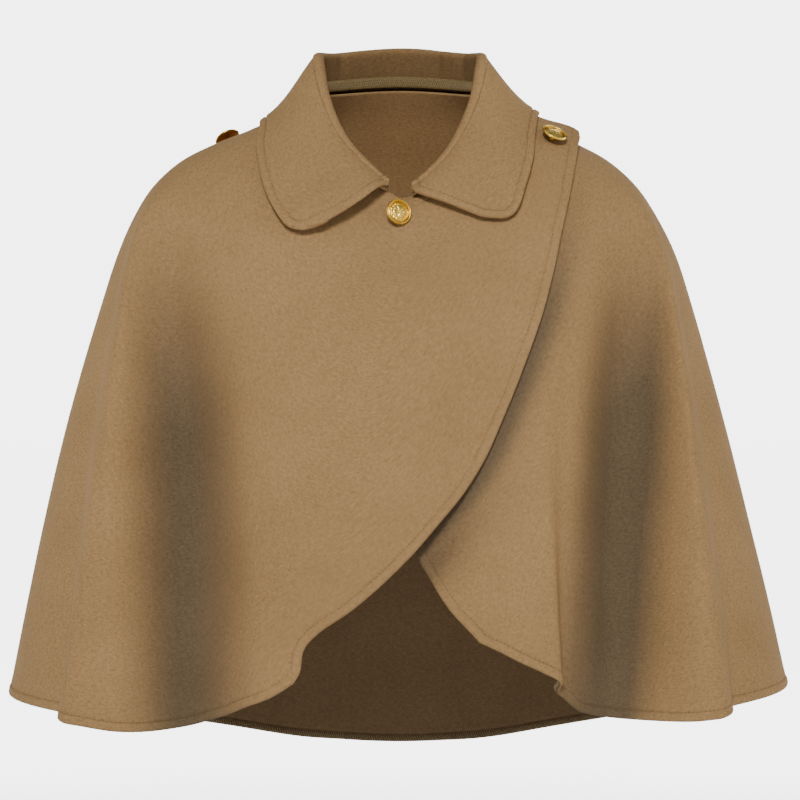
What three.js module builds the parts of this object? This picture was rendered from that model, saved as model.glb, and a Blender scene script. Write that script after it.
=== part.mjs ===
import * as THREE from 'three';

// Wool wrap cape, worn and hollow. Millimetres, +Z up, the front faces -Y and the wearer's left is +X.
// The origin lies midway between the two points where the shoulders meet the neck.

// Driving sizes
const WALL = 2.2;
const SEAM_GAP = 0.3;
const LAYER_GAP = 2.6;
const COLLAR_WALL = 3.2;
const COLLAR_ROLL_RADIUS = 3.5;
const COLLAR_CLEARANCE = 3;
const COLLAR_END = 173;
const STAND_LEAN = 0.14;
const STAND_LEAST_RISE = 1.5;
const FOOT_OUT = 0.54 * COLLAR_WALL;
const FOOT_UP = 1.6;
const FALL_STEEP = 0.3;
const FALL_STEEP_BY_STAND = 0.6;
const FALL_OUT = 0.22;
const FALL_WAY = 0.62;
const FALL_WAY_DOWN = 0.5;
const ROLL_TURNS = [45, 90, 135, 180];
const FALL_SHARES = [0.2, 0.4, 0.6, 0.8, 0.93, 1];
const COLLAR_COLUMNS_A_SIDE = 18;
const COLLAR_CROWDING = 0.5;
const BAND_LOW = 1;
const BAND_TOP = 10.5;
const BAND_REACH = 87;
const BAND_GAP = 1;
const BAND_WALL = 1.2;
const BAND_COLUMNS = 28;
const FLAP_LIFT = 6;
const FLAP_REACH = 28;
const OVERLAP_START = -50;
const OVERLAP_FULL = -18;
const OVERLAP_FADE = 20;
const SIDE_SEAM = 90;
const FRONT_SWEEP = 2;
const BACK_SWEEP = 1.15;
const SHANK_HEIGHT = 5;
const SHANK_RADIUS = 2.6;
const BUTTON_SIDES = 16;

// The form of the worn cape at each level from the neck (0) to the hem (1): where the ring of cloth
// crosses the wearer's right and left sides, the centre front and the centre back, and how square the
// ring is in plan.
const LEVELS = [
  {
    level: 0.0, rightX: 70, rightZ: 4, leftX: 70, leftZ: 4,
    frontY: 72, frontZ: -90, backY: 55, backZ: 14, square: 2.0,
  },
  {
    level: 0.05, rightX: 98, rightZ: -11, leftX: 98, leftZ: -11,
    frontY: 85, frontZ: -106, backY: 74, backZ: -7, square: 2.0,
  },
  {
    level: 0.1, rightX: 129, rightZ: -26, leftX: 126, leftZ: -26,
    frontY: 97, frontZ: -127, backY: 90, backZ: -32, square: 2.05,
  },
  {
    level: 0.15, rightX: 161, rightZ: -39, leftX: 154, leftZ: -39,
    frontY: 108, frontZ: -148, backY: 103, backZ: -55, square: 2.1,
  },
  {
    level: 0.2, rightX: 190, rightZ: -54, leftX: 181, leftZ: -54,
    frontY: 118, frontZ: -170, backY: 113, backZ: -81, square: 2.2,
  },
  {
    level: 0.25, rightX: 214, rightZ: -76, leftX: 205, leftZ: -76,
    frontY: 126, frontZ: -194, backY: 121, backZ: -110, square: 2.3,
  },
  {
    level: 0.3, rightX: 231, rightZ: -103, leftX: 223, leftZ: -103,
    frontY: 132, frontZ: -219, backY: 127, backZ: -141, square: 2.35,
  },
  {
    level: 0.36, rightX: 245, rightZ: -135, leftX: 239, leftZ: -135,
    frontY: 137, frontZ: -247, backY: 133, backZ: -176, square: 2.35,
  },
  {
    level: 0.44, rightX: 259, rightZ: -178, leftX: 253, leftZ: -178,
    frontY: 143, frontZ: -284, backY: 141, backZ: -222, square: 2.3,
  },
  {
    level: 0.54, rightX: 277, rightZ: -238, leftX: 270, leftZ: -238,
    frontY: 151, frontZ: -327, backY: 151, backZ: -280, square: 2.3,
  },
  {
    level: 0.64, rightX: 293, rightZ: -298, leftX: 286, leftZ: -298,
    frontY: 161, frontZ: -370, backY: 163, backZ: -340, square: 2.3,
  },
  {
    level: 0.76, rightX: 309, rightZ: -368, leftX: 303, leftZ: -367,
    frontY: 174, frontZ: -422, backY: 179, backZ: -416, square: 2.3,
  },
  {
    level: 0.88, rightX: 324, rightZ: -441, leftX: 320, leftZ: -437,
    frontY: 190, frontZ: -477, backY: 197, backZ: -496, square: 2.3,
  },
  {
    level: 1.0, rightX: 338, rightZ: -513, leftX: 335, leftZ: -505,
    frontY: 206, frontZ: -533, backY: 216, backZ: -584, square: 2.3,
  },
];

// Crests and troughs of the hanging folds, in order round the body. Each is a line at top degrees from
// the centre front at the neck and low degrees at the hem, positive to the wearer's left. The cloth
// stands out by mid at FOLD_MIDDLE and by hem at the hem, and leans along the ring by lean at the hem.
const FOLD_MIDDLE = 0.62;
const LEAN_AT_MIDDLE = 0.1;
const FOLDS = [
  { top: -176, low: -168, start: 0.3, mid: 4, hem: 8, lean: 0 },
  { top: -158, low: -151, start: 0.3, mid: -8, hem: -16, lean: 0 },
  { top: -140, low: -134, start: 0.25, mid: 7, hem: 16, lean: -3 },
  { top: -124, low: -119, start: 0.25, mid: -8, hem: -17, lean: 0 },
  { top: -108, low: -104, start: 0.3, mid: 3, hem: 7, lean: 2 },
  { top: -90, low: -90, start: 0.3, mid: 0, hem: 0, lean: 0 },
  { top: -87, low: -68, start: 0.24, mid: -6, hem: -9, lean: 6 },
  { top: -82, low: -56.5, start: 0.18, mid: 11, hem: 32, lean: -4 },
  { top: -76, low: -42, start: 0.12, mid: -15, hem: -3, lean: 0 },
  { top: -40, low: -22, start: 0.35, mid: 4, hem: 7, lean: 0 },
  { top: 2, low: 2, start: 0.3, mid: -3, hem: -6, lean: 0 },
  { top: 32, low: 22, start: 0.4, mid: 2, hem: 4, lean: 2 },
  { top: 50, low: 29.6, start: 0.4, mid: 4, hem: 13, lean: 9 },
  { top: 58, low: 37, start: 0.4, mid: -7, hem: -12, lean: -9 },
  { top: 75, low: 44, start: 0.2, mid: -17, hem: -12, lean: 0 },
  { top: 82, low: 56, start: 0.22, mid: 11, hem: 25, lean: 4 },
  { top: 87, low: 68, start: 0.26, mid: -6, hem: -9, lean: -6 },
  { top: 90, low: 90, start: 0.3, mid: 0, hem: 0, lean: 0 },
  { top: 106, low: 103, start: 0.3, mid: 3, hem: 8, lean: 0 },
  { top: 124, low: 120, start: 0.25, mid: -9, hem: -18, lean: 0 },
  { top: 142, low: 137, start: 0.25, mid: 7, hem: 15, lean: 3 },
  { top: 160, low: 155, start: 0.3, mid: -7, hem: -13, lean: 0 },
  { top: 174, low: 173, start: 0.35, mid: 4, hem: 8, lean: 0 },
];

// Deep troughs between the body and the arms, where the cloth falls back towards the wearer. Each runs
// along a line like a fold's. It sinks over the inner degrees on the side of the centre front and rises
// again over the outer degrees on the other, and it is as deep as mid and hem say.
const DEEP_TROUGHS = [
  { top: -79, low: -43.5, inner: 28, outer: 9, start: 0.22, mid: 38, hem: 36, lean: 0 },
  { top: 80, low: 46.5, inner: 20, outer: 8, start: 0.22, mid: 40, hem: 36, lean: 0 },
];
const TROUGH_SKEW = 1.8;

// Free front edge of the right front, which wraps over the chest to the left shoulder, from below the
// corner of its flap down to its rounded lower corner, as seen from the front.
const WRAP_EDGE = [
  { z: -30, x: 142 },
  { z: -59, x: 139.5 },
  { z: -83, x: 136 },
  { z: -112, x: 131 },
  { z: -149, x: 124.5 },
  { z: -186, x: 115.5 },
  { z: -239, x: 97 },
  { z: -279, x: 81 },
  { z: -308, x: 68 },
  { z: -340, x: 48 },
  { z: -383, x: 12 },
  { z: -409, x: -14 },
  { z: -431, x: -40 },
  { z: -449, x: -66 },
  { z: -462, x: -77 },
  { z: -480, x: -80 },
  { z: -492, x: -87 },
  { z: -520, x: -104 },
];
const WRAP_CORNER_LEVEL = 0.137;
const WRAP_TOP_ANGLE = 86;
const FLAP_TOP_LEVEL = 0.022;

// Free front edge of the left front, hidden under the wrap down to the point where it curves away.
const UNDER_EDGE = [
  { z: -60, x: -24 },
  { z: -150, x: -24 },
  { z: -250, x: -18 },
  { z: -320, x: -7 },
  { z: -360, x: 4 },
  { z: -385, x: 14 },
  { z: -411, x: 27 },
  { z: -432, x: 41 },
  { z: -453, x: 61 },
  { z: -480, x: 84 },
];

// Hem of each front, as its height at each angle round the hem. The back's hem follows level 1.
const RIGHT_HEM = [
  { low: -90, z: -513 },
  { low: -68, z: -519 },
  { low: -56.5, z: -523 },
  { low: -47, z: -530 },
  { low: -37.5, z: -519 },
  { low: -32, z: -509 },
  { low: -27, z: -500 },
  { low: -23, z: -488 },
];
const LEFT_HEM = [
  { low: 16.5, z: -451 },
  { low: 22, z: -464.5 },
  { low: 26, z: -475.5 },
  { low: 29.6, z: -485 },
  { low: 37, z: -501 },
  { low: 40, z: -514 },
  { low: 44, z: -520.5 },
  { low: 49, z: -523 },
  { low: 56, z: -519 },
  { low: 68, z: -513 },
  { low: 90, z: -505 },
];

// Collar sections, by degrees round the neck from the centre back, negative to the wearer's right.
// Each has the height of its stand and where its outer edge lies on the cape: degrees round and level.
const COLLAR = [
  { around: -172, stand: 8, edgeAround: -144, edgeLevel: 0.18, lift: 8 },
  { around: -166, stand: 10, edgeAround: -139, edgeLevel: 0.197, lift: 6 },
  { around: -157, stand: 12, edgeAround: -134, edgeLevel: 0.199, lift: 4 },
  { around: -140, stand: 13, edgeAround: -126, edgeLevel: 0.178, lift: 3 },
  { around: -120, stand: 18, edgeAround: -117, edgeLevel: 0.134, lift: 3 },
  { around: -105, stand: 28, edgeAround: -105, edgeLevel: 0.1, lift: 3 },
  { around: -90, stand: 34, edgeAround: -90, edgeLevel: 0.086, lift: 3 },
  { around: -60, stand: 33, edgeAround: -60, edgeLevel: 0.088, lift: 3 },
  { around: -30, stand: 34, edgeAround: -30, edgeLevel: 0.09, lift: 3 },
  { around: 0, stand: 34.5, edgeAround: 0, edgeLevel: 0.092, lift: 3 },
  { around: 30, stand: 34, edgeAround: 30, edgeLevel: 0.09, lift: 3 },
  { around: 60, stand: 33, edgeAround: 60, edgeLevel: 0.086, lift: 3 },
  { around: 90, stand: 34, edgeAround: 90, edgeLevel: 0.084, lift: 3 },
  { around: 105, stand: 28, edgeAround: 103, edgeLevel: 0.092, lift: 3 },
  { around: 120, stand: 18, edgeAround: 117, edgeLevel: 0.127, lift: 3 },
  { around: 140, stand: 13, edgeAround: 128, edgeLevel: 0.162, lift: 3 },
  { around: 157, stand: 12, edgeAround: 134, edgeLevel: 0.188, lift: 4 },
  { around: 166, stand: 10, edgeAround: 139, edgeLevel: 0.18, lift: 5 },
  { around: 172, stand: 8, edgeAround: 145, edgeLevel: 0.15, lift: 5 },
];

// Finish
const WOOL = { color: 0x9a7c58, roughness: 0.95, metalness: 0.0 };
const WOOL_INSIDE = { color: 0x7d6547, roughness: 0.97, metalness: 0.0 };
const GOLD = { color: 0xd9b04a, roughness: 0.3, metalness: 1.0 };

const UP = new THREE.Vector3(0, 0, 1);
const radians = THREE.MathUtils.degToRad;
const lerp = THREE.MathUtils.lerp;
const smooth = THREE.MathUtils.smoothstep;

// A smooth curve through one column of a table, by its key column, straight beyond both ends.
function lookUp(rows, key, column, at) {
  const rising = rows[rows.length - 1][key] > rows[0][key] ? 1 : -1;
  let first = 0;
  while (first < rows.length - 2 && (at - rows[first + 1][key]) * rising > 0) {
    first += 1;
  }
  const slope = (i) => {
    const before = rows[Math.max(i - 1, 0)];
    const after = rows[Math.min(i + 1, rows.length - 1)];
    return (after[column] - before[column]) / (after[key] - before[key]);
  };
  const low = rows[first];
  const high = rows[first + 1];
  const span = high[key] - low[key];
  const t = (at - low[key]) / span;
  if (t < 0) {
    return low[column] + slope(first) * (at - low[key]);
  }
  if (t > 1) {
    return high[column] + slope(first + 1) * (at - high[key]);
  }
  const bendLow = slope(first) * span;
  const bendHigh = slope(first + 1) * span;
  const t2 = t * t;
  const t3 = t2 * t;
  return low[column] * (2 * t3 - 3 * t2 + 1) + bendLow * (t3 - 2 * t2 + t)
    + high[column] * (3 * t2 - 2 * t3) + bendHigh * (t3 - t2);
}

// The point where a rising or falling function changes sign between two values.
function solve(difference, low, high) {
  const sign = Math.sign(difference(low));
  for (let step = 0; step < 36; step += 1) {
    const middle = (low + high) / 2;
    if (Math.sign(difference(middle)) === sign) {
      low = middle;
    } else {
      high = middle;
    }
  }
  return (low + high) / 2;
}

// The smooth form under the folds, at an angle from the centre front and a level.
function bodyForm(angle, level) {
  const value = (column) => lookUp(LEVELS, 'level', column, level);
  const inFront = Math.cos(radians(angle)) > 0;
  const onLeft = Math.sin(radians(angle)) > 0;
  const depth = inFront ? value('frontY') : value('backY');
  const centreZ = inFront ? value('frontZ') : value('backZ');
  const width = onLeft ? value('leftX') : value('rightX');
  const sideZ = onLeft ? value('leftZ') : value('rightZ');
  const power = value('square');
  const across = Math.abs(Math.sin(radians(angle)));
  const along = Math.abs(Math.cos(radians(angle)));
  const radius = ((across / width) ** power + (along / depth) ** power) ** (-1 / power);
  return new THREE.Vector3(
    radius * Math.sin(radians(angle)),
    -radius * Math.cos(radians(angle)),
    sideZ + (centreZ - sideZ) * along ** (inFront ? FRONT_SWEEP : BACK_SWEEP),
  );
}

// How far one fold line stands out, or leans, at a level: nothing at its start, full at the hem.
function foldReach(fold, column, level) {
  if (level <= fold.start) {
    return 0;
  }
  const middle = column === 'hem' ? fold.mid : fold.lean * LEAN_AT_MIDDLE;
  const course = [
    { level: fold.start, reach: 0 },
    { level: FOLD_MIDDLE, reach: middle },
    { level: 1, reach: fold[column] },
  ];
  return lookUp(course, 'level', 'reach', level) * smooth(level, fold.start, fold.start + 0.1);
}

// Folds at an angle and level: the cloth swings evenly from each crest or trough to the next.
function foldAt(angle, level) {
  const turns = FOLDS.map((fold) => lerp(fold.top, fold.low, level));
  let next = turns.findIndex((turn) => turn > angle);
  if (next < 0) {
    next = 0;
  }
  const last = (next + FOLDS.length - 1) % FOLDS.length;
  const whole = (degrees) => (degrees + 360) % 360;
  const share = whole(angle - turns[last]) / whole(turns[next] - turns[last]);
  const blend = (1 - Math.cos(Math.PI * share)) / 2;
  const mix = (column) => lerp(
    foldReach(FOLDS[last], column, level),
    foldReach(FOLDS[next], column, level),
    blend,
  );
  return { out: mix('hem'), lean: mix('lean') };
}

// How far the cloth falls back in the deep troughs at an angle and level.
function troughAt(angle, level) {
  const depths = DEEP_TROUGHS.map((trough) => {
    const past = (angle - lerp(trough.top, trough.low, level)) * Math.sign(trough.low);
    const share = Math.max(1 - Math.abs(past) / (past < 0 ? trough.inner : trough.outer), 0);
    const skewed = past < 0 ? share ** TROUGH_SKEW : share;
    return foldReach(trough, 'hem', level) * Math.sin(Math.PI / 2 * skewed) ** 2;
  });
  return depths.reduce((sum, depth) => sum + depth, 0);
}

// The outer face of the undermost cloth.
function clothPoint(angle, level) {
  const point = bodyForm(angle, level);
  point.y += troughAt(angle, level);
  const fold = foldAt(angle, level);
  const outward = new THREE.Vector3(point.x, point.y, 0).normalize();
  const onward = new THREE.Vector3(-outward.y, outward.x, 0);
  return point.addScaledVector(outward, fold.out).addScaledVector(onward, fold.lean);
}

// Outward normal of the cloth, from points a little to each side.
const NEAR_ANGLE = 0.2;
const NEAR_LEVEL = 0.002;
function clothNormal(angle, level) {
  const along = clothPoint(angle + NEAR_ANGLE, level).sub(clothPoint(angle - NEAR_ANGLE, level));
  const down = clothPoint(angle, level + NEAR_LEVEL).sub(clothPoint(angle, level - NEAR_LEVEL));
  return down.cross(along).normalize();
}

function offsetPoint(angle, level, offset) {
  return clothPoint(angle, level).addScaledVector(clothNormal(angle, level), offset);
}

// A closed solid from a grid of outer points and the matching grid of inner points. Each square of the
// grid is cut along its shorter diagonal.
function shell(outer, inner) {
  const rows = outer.length;
  const columns = outer[0].length;
  const points = [...outer.flat(), ...inner.flat()];
  const inside = rows * columns;
  const faces = [];
  const quad = (a, b, c, d) => {
    faces.push(a, b, c, a, c, d);
  };
  for (let row = 0; row < rows - 1; row += 1) {
    for (let column = 0; column < columns - 1; column += 1) {
      const a = row * columns + column;
      const b = a + columns;
      if (points[a].distanceTo(points[b + 1]) < points[b].distanceTo(points[a + 1])) {
        quad(a, b, b + 1, a + 1);
        quad(inside + a, inside + a + 1, inside + b + 1, inside + b);
      } else {
        quad(b, b + 1, a + 1, a);
        quad(inside + b, inside + a, inside + a + 1, inside + b + 1);
      }
    }
  }
  const top = (column) => column;
  const bottom = (column) => (rows - 1) * columns + column;
  for (let column = 0; column < columns - 1; column += 1) {
    quad(top(column), top(column + 1), inside + top(column + 1), inside + top(column));
    quad(bottom(column + 1), bottom(column), inside + bottom(column), inside + bottom(column + 1));
  }
  const left = (row) => row * columns;
  const right = (row) => row * columns + columns - 1;
  for (let row = 0; row < rows - 1; row += 1) {
    quad(left(row + 1), left(row), inside + left(row), inside + left(row + 1));
    quad(right(row), right(row + 1), inside + right(row + 1), inside + right(row));
  }
  const geometry = new THREE.BufferGeometry();
  const places = points.flatMap((point) => [point.x, point.y, point.z]);
  geometry.setAttribute('position', new THREE.Float32BufferAttribute(places, 3));
  geometry.setIndex(faces);
  return geometry;
}

// A wall of cloth from a grid of spots, each with an angle, a level and the offset of its outer face.
function wall(spots, thickness) {
  const face = (depth) => spots.map((line) => line.map((spot) => (
    offsetPoint(spot.angle, spot.level, spot.offset - depth)
  )));
  return shell(face(0), face(thickness));
}

// Rows from neck to hem, shared by the pieces so that their seams run side by side. One row passes
// through the corner of the flap, and the rows are closer together over the shoulders.
const ROWS_ABOVE_CORNER = 3;
const ROWS_BELOW_CORNER = 15;
const ROW_GROWTH = 1.12;
const DOWN = [];
for (let row = 0; row < ROWS_ABOVE_CORNER; row += 1) {
  DOWN.push((WRAP_CORNER_LEVEL * row) / ROWS_ABOVE_CORNER);
}
for (let row = 0; row <= ROWS_BELOW_CORNER; row += 1) {
  DOWN.push(lerp(WRAP_CORNER_LEVEL, 1, (row / ROWS_BELOW_CORNER) ** ROW_GROWTH));
}

// Lines that run with the folds from one fold to another, each gap between two folds cut in parts.
function foldLines(first, last, parts) {
  const lines = [FOLDS[first]];
  for (let fold = first; fold !== last; fold = (fold + 1) % FOLDS.length) {
    const from = FOLDS[fold];
    const to = FOLDS[(fold + 1) % FOLDS.length];
    const turn = to.low < from.low ? 360 : 0;
    for (let part = 1; part <= parts; part += 1) {
      const share = part / parts;
      lines.push({ top: lerp(from.top, to.top + turn, share), low: lerp(from.low, to.low + turn, share) });
    }
  }
  return lines;
}

function foldNear(low) {
  return FOLDS.findIndex((fold) => Math.abs(fold.low - low) < 1e-6);
}

// Moves the end of a piece away from its seam line by half the seam's gap.
function trim(level) {
  return THREE.MathUtils.radToDeg(SEAM_GAP / 2 / lookUp(LEVELS, 'level', 'leftX', level));
}

// Angle at which an edge, given as x at each height, crosses a level.
function edgeAngle(edge, level, widest) {
  const beside = (angle) => {
    const point = clothPoint(angle, level);
    return point.x - lookUp(edge, 'z', 'x', point.z);
  };
  return solve(beside, -60, widest);
}

// Levels between which every hem lies.
const HEM_FROM = 0.7;
const HEM_TO = 1.06;

// Level at which a line reaches the hem, whose height there is known from the line's angle at level 1.
function hemLevel(hem, angleAt) {
  const height = lookUp(hem, 'low', 'z', angleAt(1));
  return solve((level) => clothPoint(angleAt(level), level).z - height, HEM_FROM, HEM_TO);
}

// Level at which a free edge runs into the hem.
function cornerLevel(edge, hem) {
  const above = (level) => {
    const angle = edgeAngle(edge, level, SIDE_SEAM);
    return clothPoint(angle, level).z - lookUp(hem, 'low', 'z', angle);
  };
  return solve(above, HEM_FROM, 1);
}

// Back: one piece from side seam to side seam over both shoulders.
function back() {
  const lines = foldLines(foldNear(SIDE_SEAM), foldNear(-SIDE_SEAM), 3);
  const end = lines.length - 1;
  const spots = DOWN.map((level) => lines.map((line, index) => {
    const inward = (index === 0 ? trim(level) : 0) - (index === end ? trim(level) : 0);
    const angle = lerp(line.top, line.low, level) + inward;
    return { angle: angle - (angle > 180 ? 360 : 0), level, offset: 0 };
  }));
  return wall(spots, WALL);
}

// The right front rises onto the left front where it overlaps it, and lifts at the flap's corner.
function rightOffset(angle, level) {
  const onTop = (WALL + LAYER_GAP) * smooth(angle, OVERLAP_START, OVERLAP_FULL);
  const corner = clothPoint(WRAP_TOP_ANGLE, WRAP_CORNER_LEVEL);
  const distance = clothPoint(angle, level).distanceTo(corner);
  return onTop + FLAP_LIFT * Math.exp(-((distance / FLAP_REACH) ** 2));
}

// A front: its lines run with the folds from the side seam to the fold at guideLow, and from there
// they spread to the free edge. Every line runs from its top level down to the hem.
function frontSpots({ seamLow, guideLow, parts, spread, edgeAt, endLevel, hem, topLevel, offset }) {
  const side = Math.sign(seamLow);
  const [from, to] = side < 0 ? [seamLow, guideLow] : [guideLow, seamLow];
  const lines = foldLines(foldNear(from), foldNear(to), parts);
  if (side > 0) {
    lines.reverse();
  }
  const guide = lines[lines.length - 1];
  const columns = lines.map((line, index) => ({
    share: 0,
    angleAt: (level) => lerp(line.top, line.low, level) - (index === 0 ? side * trim(level) : 0),
  }));
  for (let part = 1; part <= spread; part += 1) {
    columns.push({ share: part / spread, angleAt: (level) => lerp(guide.top, guide.low, level) });
  }
  const endAngle = edgeAt(endLevel);
  for (const column of columns) {
    const angleAt = (level) => lerp(column.angleAt(level), endAngle, column.share);
    column.low = column.share === 1 ? endLevel : hemLevel(hem, angleAt);
    column.high = topLevel(lerp(column.angleAt(0), edgeAt(0), column.share));
  }
  const ordered = side < 0 ? columns : columns.reverse();
  return DOWN.map((v) => {
    const edge = edgeAt(v * endLevel);
    return ordered.map((column) => {
      const level = lerp(column.high, column.low, v);
      const angle = lerp(column.angleAt(level), edge, column.share);
      return { angle, level, offset: offset(angle, level) };
    });
  });
}

// Right front: from the right side seam across the chest to the left shoulder.
function frontRight() {
  const endLevel = cornerLevel(WRAP_EDGE, RIGHT_HEM);
  const corner = WRAP_CORNER_LEVEL * endLevel;
  const edgeAt = (level) => (
    level <= corner + 1e-9 ? WRAP_TOP_ANGLE : edgeAngle(WRAP_EDGE, level, WRAP_TOP_ANGLE)
  );
  const spots = frontSpots({
    seamLow: -SIDE_SEAM,
    guideLow: -42,
    parts: 5,
    spread: 20,
    edgeAt,
    endLevel,
    hem: RIGHT_HEM,
    topLevel: (angle) => FLAP_TOP_LEVEL * smooth(angle, -6, 4),
    offset: rightOffset,
  });
  return wall(spots, WALL);
}

// Left front: from the left side seam to its hidden front edge, cut away in a curve at the bottom.
function frontLeft() {
  const spots = frontSpots({
    seamLow: SIDE_SEAM,
    guideLow: 22,
    parts: 4,
    spread: 8,
    edgeAt: (level) => edgeAngle(UNDER_EDGE, level, SIDE_SEAM),
    endLevel: cornerLevel(UNDER_EDGE, LEFT_HEM),
    hem: LEFT_HEM,
    topLevel: () => 0,
    offset: () => 0,
  });
  return wall(spots, WALL);
}

// How far the uppermost cloth lies above the undermost, under the collar.
function topLayer(angle, level) {
  return rightOffset(angle, level) * (1 - smooth(Math.abs(angle), SIDE_SEAM, SIDE_SEAM + OVERLAP_FADE));
}

function capeAngle(around) {
  return around > 0 ? 180 - around : -180 - around;
}

// The stand from its foot on the neck seam to the shoulder where its roll begins.
function standAt(around) {
  const neckAngle = capeAngle(around);
  const seam = offsetPoint(neckAngle, 0, neckAngle < 0 ? topLayer(neckAngle, 0) : 0);
  const outward = new THREE.Vector3(seam.x, seam.y, 0).normalize();
  const foot = seam.clone().addScaledVector(UP, FOOT_UP).addScaledVector(outward, FOOT_OUT);
  const rise = Math.max(lookUp(COLLAR, 'around', 'stand', around) - COLLAR_ROLL_RADIUS, STAND_LEAST_RISE);
  const shoulder = foot.clone().addScaledVector(UP, rise).addScaledVector(outward, -rise * STAND_LEAN);
  return { outward, foot, shoulder };
}

// One collar section, from the neck seam up the stand, over the roll and down the fall to the edge.
function collarSection(around) {
  const value = (column) => lookUp(COLLAR, 'around', column, around);
  const neckAngle = capeAngle(around);
  const { outward, foot, shoulder } = standAt(around);
  const points = [foot, foot.clone().lerp(shoulder, 0.5), shoulder];
  for (const turn of ROLL_TURNS) {
    const reach = COLLAR_ROLL_RADIUS * (1 - Math.cos(radians(turn)));
    const height = COLLAR_ROLL_RADIUS * Math.sin(radians(turn));
    points.push(shoulder.clone().addScaledVector(outward, reach).addScaledVector(UP, height));
  }
  const edgeTurn = capeAngle(value('edgeAround'));
  const lift = COLLAR_WALL / 2 + value('lift');
  const edge = offsetPoint(edgeTurn, value('edgeLevel'), topLayer(edgeTurn, value('edgeLevel')) + lift);
  const start = points[points.length - 1];
  const length = start.distanceTo(edge);
  const steep = Math.min(length * FALL_STEEP, value('stand') * FALL_STEEP_BY_STAND);
  const first = start.clone().addScaledVector(UP, -steep).addScaledVector(outward, length * FALL_OUT);
  const partTurn = lerp(neckAngle, edgeTurn, FALL_WAY);
  const partLevel = value('edgeLevel') * FALL_WAY_DOWN;
  const partLift = topLayer(partTurn, partLevel) + lift + COLLAR_CLEARANCE;
  const second = offsetPoint(partTurn, partLevel, partLift);
  const fall = new THREE.CubicBezierCurve3(start, first, second, edge);
  for (const share of FALL_SHARES) {
    points.push(fall.getPoint(share));
  }
  return points;
}

// The outer and inner faces of a sheet, from a grid of points through the middle of its thickness.
function thicken(middle, thickness) {
  const normal = (row, column) => {
    const rowStep = middle[Math.min(row + 1, middle.length - 1)][column].clone()
      .sub(middle[Math.max(row - 1, 0)][column]);
    const columnStep = middle[row][Math.min(column + 1, middle[row].length - 1)].clone()
      .sub(middle[row][Math.max(column - 1, 0)]);
    return rowStep.cross(columnStep).normalize();
  };
  const face = (offset) => middle.map((line, row) => line.map((point, column) => (
    point.clone().addScaledVector(normal(row, column), offset)
  )));
  return shell(face(thickness / 2), face(-thickness / 2));
}

// Overlocked seam allowance, turned up inside the back of the stand.
function neckBand() {
  const inside = COLLAR_WALL / 2 + BAND_GAP + BAND_WALL / 2;
  const lines = [BAND_LOW, BAND_TOP].map((height) => {
    const line = [];
    for (let column = 0; column <= BAND_COLUMNS; column += 1) {
      const { outward, foot, shoulder } = standAt(lerp(BAND_REACH, -BAND_REACH, column / BAND_COLUMNS));
      const way = shoulder.sub(foot).normalize();
      line.push(foot.addScaledVector(way, height).addScaledVector(outward, -inside));
    }
    return line;
  });
  return thicken(lines, BAND_WALL);
}

// The sections are closest together at the rounded corners of the two leaves.
function collar() {
  const turns = [];
  for (let index = -COLLAR_COLUMNS_A_SIDE; index <= COLLAR_COLUMNS_A_SIDE; index += 1) {
    const share = index / COLLAR_COLUMNS_A_SIDE;
    turns.push(COLLAR_END * share * (1 + COLLAR_CROWDING * (1 - share * share)));
  }
  const sections = turns.reverse().map((turn) => collarSection(turn));
  const lines = sections[0].map((_, place) => sections.map((section) => section[place]));
  return thicken(lines, COLLAR_WALL);
}

// Outline of a button's disc from the top of its shank over the rim to the middle of its low dome: out
// is the distance from the axis, up the height above the shank.
const DISC_OUTLINE = [
  { out: 7.25, up: 0.4 },
  { out: 10.45, up: 1.2 },
  { out: 11.25, up: 2.2 },
  { out: 10.65, up: 3.4 },
  { out: 9.25, up: 3.6 },
  { out: 8.25, up: 2.6 },
  { out: 5, up: 3.4 },
  { out: 0, up: 3.8 },
];

// Shank button: a foot, a disc with a raised rim and a low dome, turned about its own axis.
function button() {
  const outline = [
    new THREE.Vector2(0, 0),
    new THREE.Vector2(SHANK_RADIUS, 0),
    new THREE.Vector2(SHANK_RADIUS, SHANK_HEIGHT),
    ...DISC_OUTLINE.map((row) => new THREE.Vector2(row.out, SHANK_HEIGHT + row.up)),
  ];
  return new THREE.LatheGeometry(outline, BUTTON_SIDES);
}

// Each button's foot stands on the cloth at an angle and level, and its face looks along facing.
const BUTTONS = [
  { name: 'button_neck', angle: -2.5, level: 0.057, facing: [0.42, -0.88, 0.22] },
  { name: 'button_left_shoulder', angle: 71, level: 0.125, facing: [0.36, -0.5, 0.8] },
  { name: 'button_right_shoulder', angle: -99, level: 0.136, facing: [-0.42, 0.4, 0.82] },
];

function buttonMesh(row) {
  const facing = new THREE.Vector3(...row.facing).normalize();
  const tilt = clothNormal(row.angle, row.level).angleTo(facing);
  const layer = row.angle > -SIDE_SEAM ? rightOffset(row.angle, row.level) : 0;
  const mesh = named(row.name, button(), GOLD);
  const offset = layer + SEAM_GAP + SHANK_RADIUS * Math.sin(tilt);
  mesh.position.copy(offsetPoint(row.angle, row.level, offset));
  mesh.quaternion.setFromUnitVectors(new THREE.Vector3(0, 1, 0), facing);
  return mesh;
}

function named(name, geometry, finish) {
  const mesh = new THREE.Mesh(geometry, new THREE.MeshStandardMaterial(finish));
  mesh.name = name;
  return mesh;
}

const cape = new THREE.Group();
cape.name = 'wool_cape';
cape.add(named('back', back(), WOOL));
cape.add(named('front_right', frontRight(), WOOL));
cape.add(named('front_left', frontLeft(), WOOL));
cape.add(named('collar', collar(), WOOL));
cape.add(named('neck_band', neckBand(), WOOL_INSIDE));
for (const row of BUTTONS) {
  cape.add(buttonMesh(row));
}

export default cape;
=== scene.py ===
import math

import bpy
import numpy as np
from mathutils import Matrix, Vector
from mathutils.bvhtree import BVHTree
from mathutils.kdtree import KDTree


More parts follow.
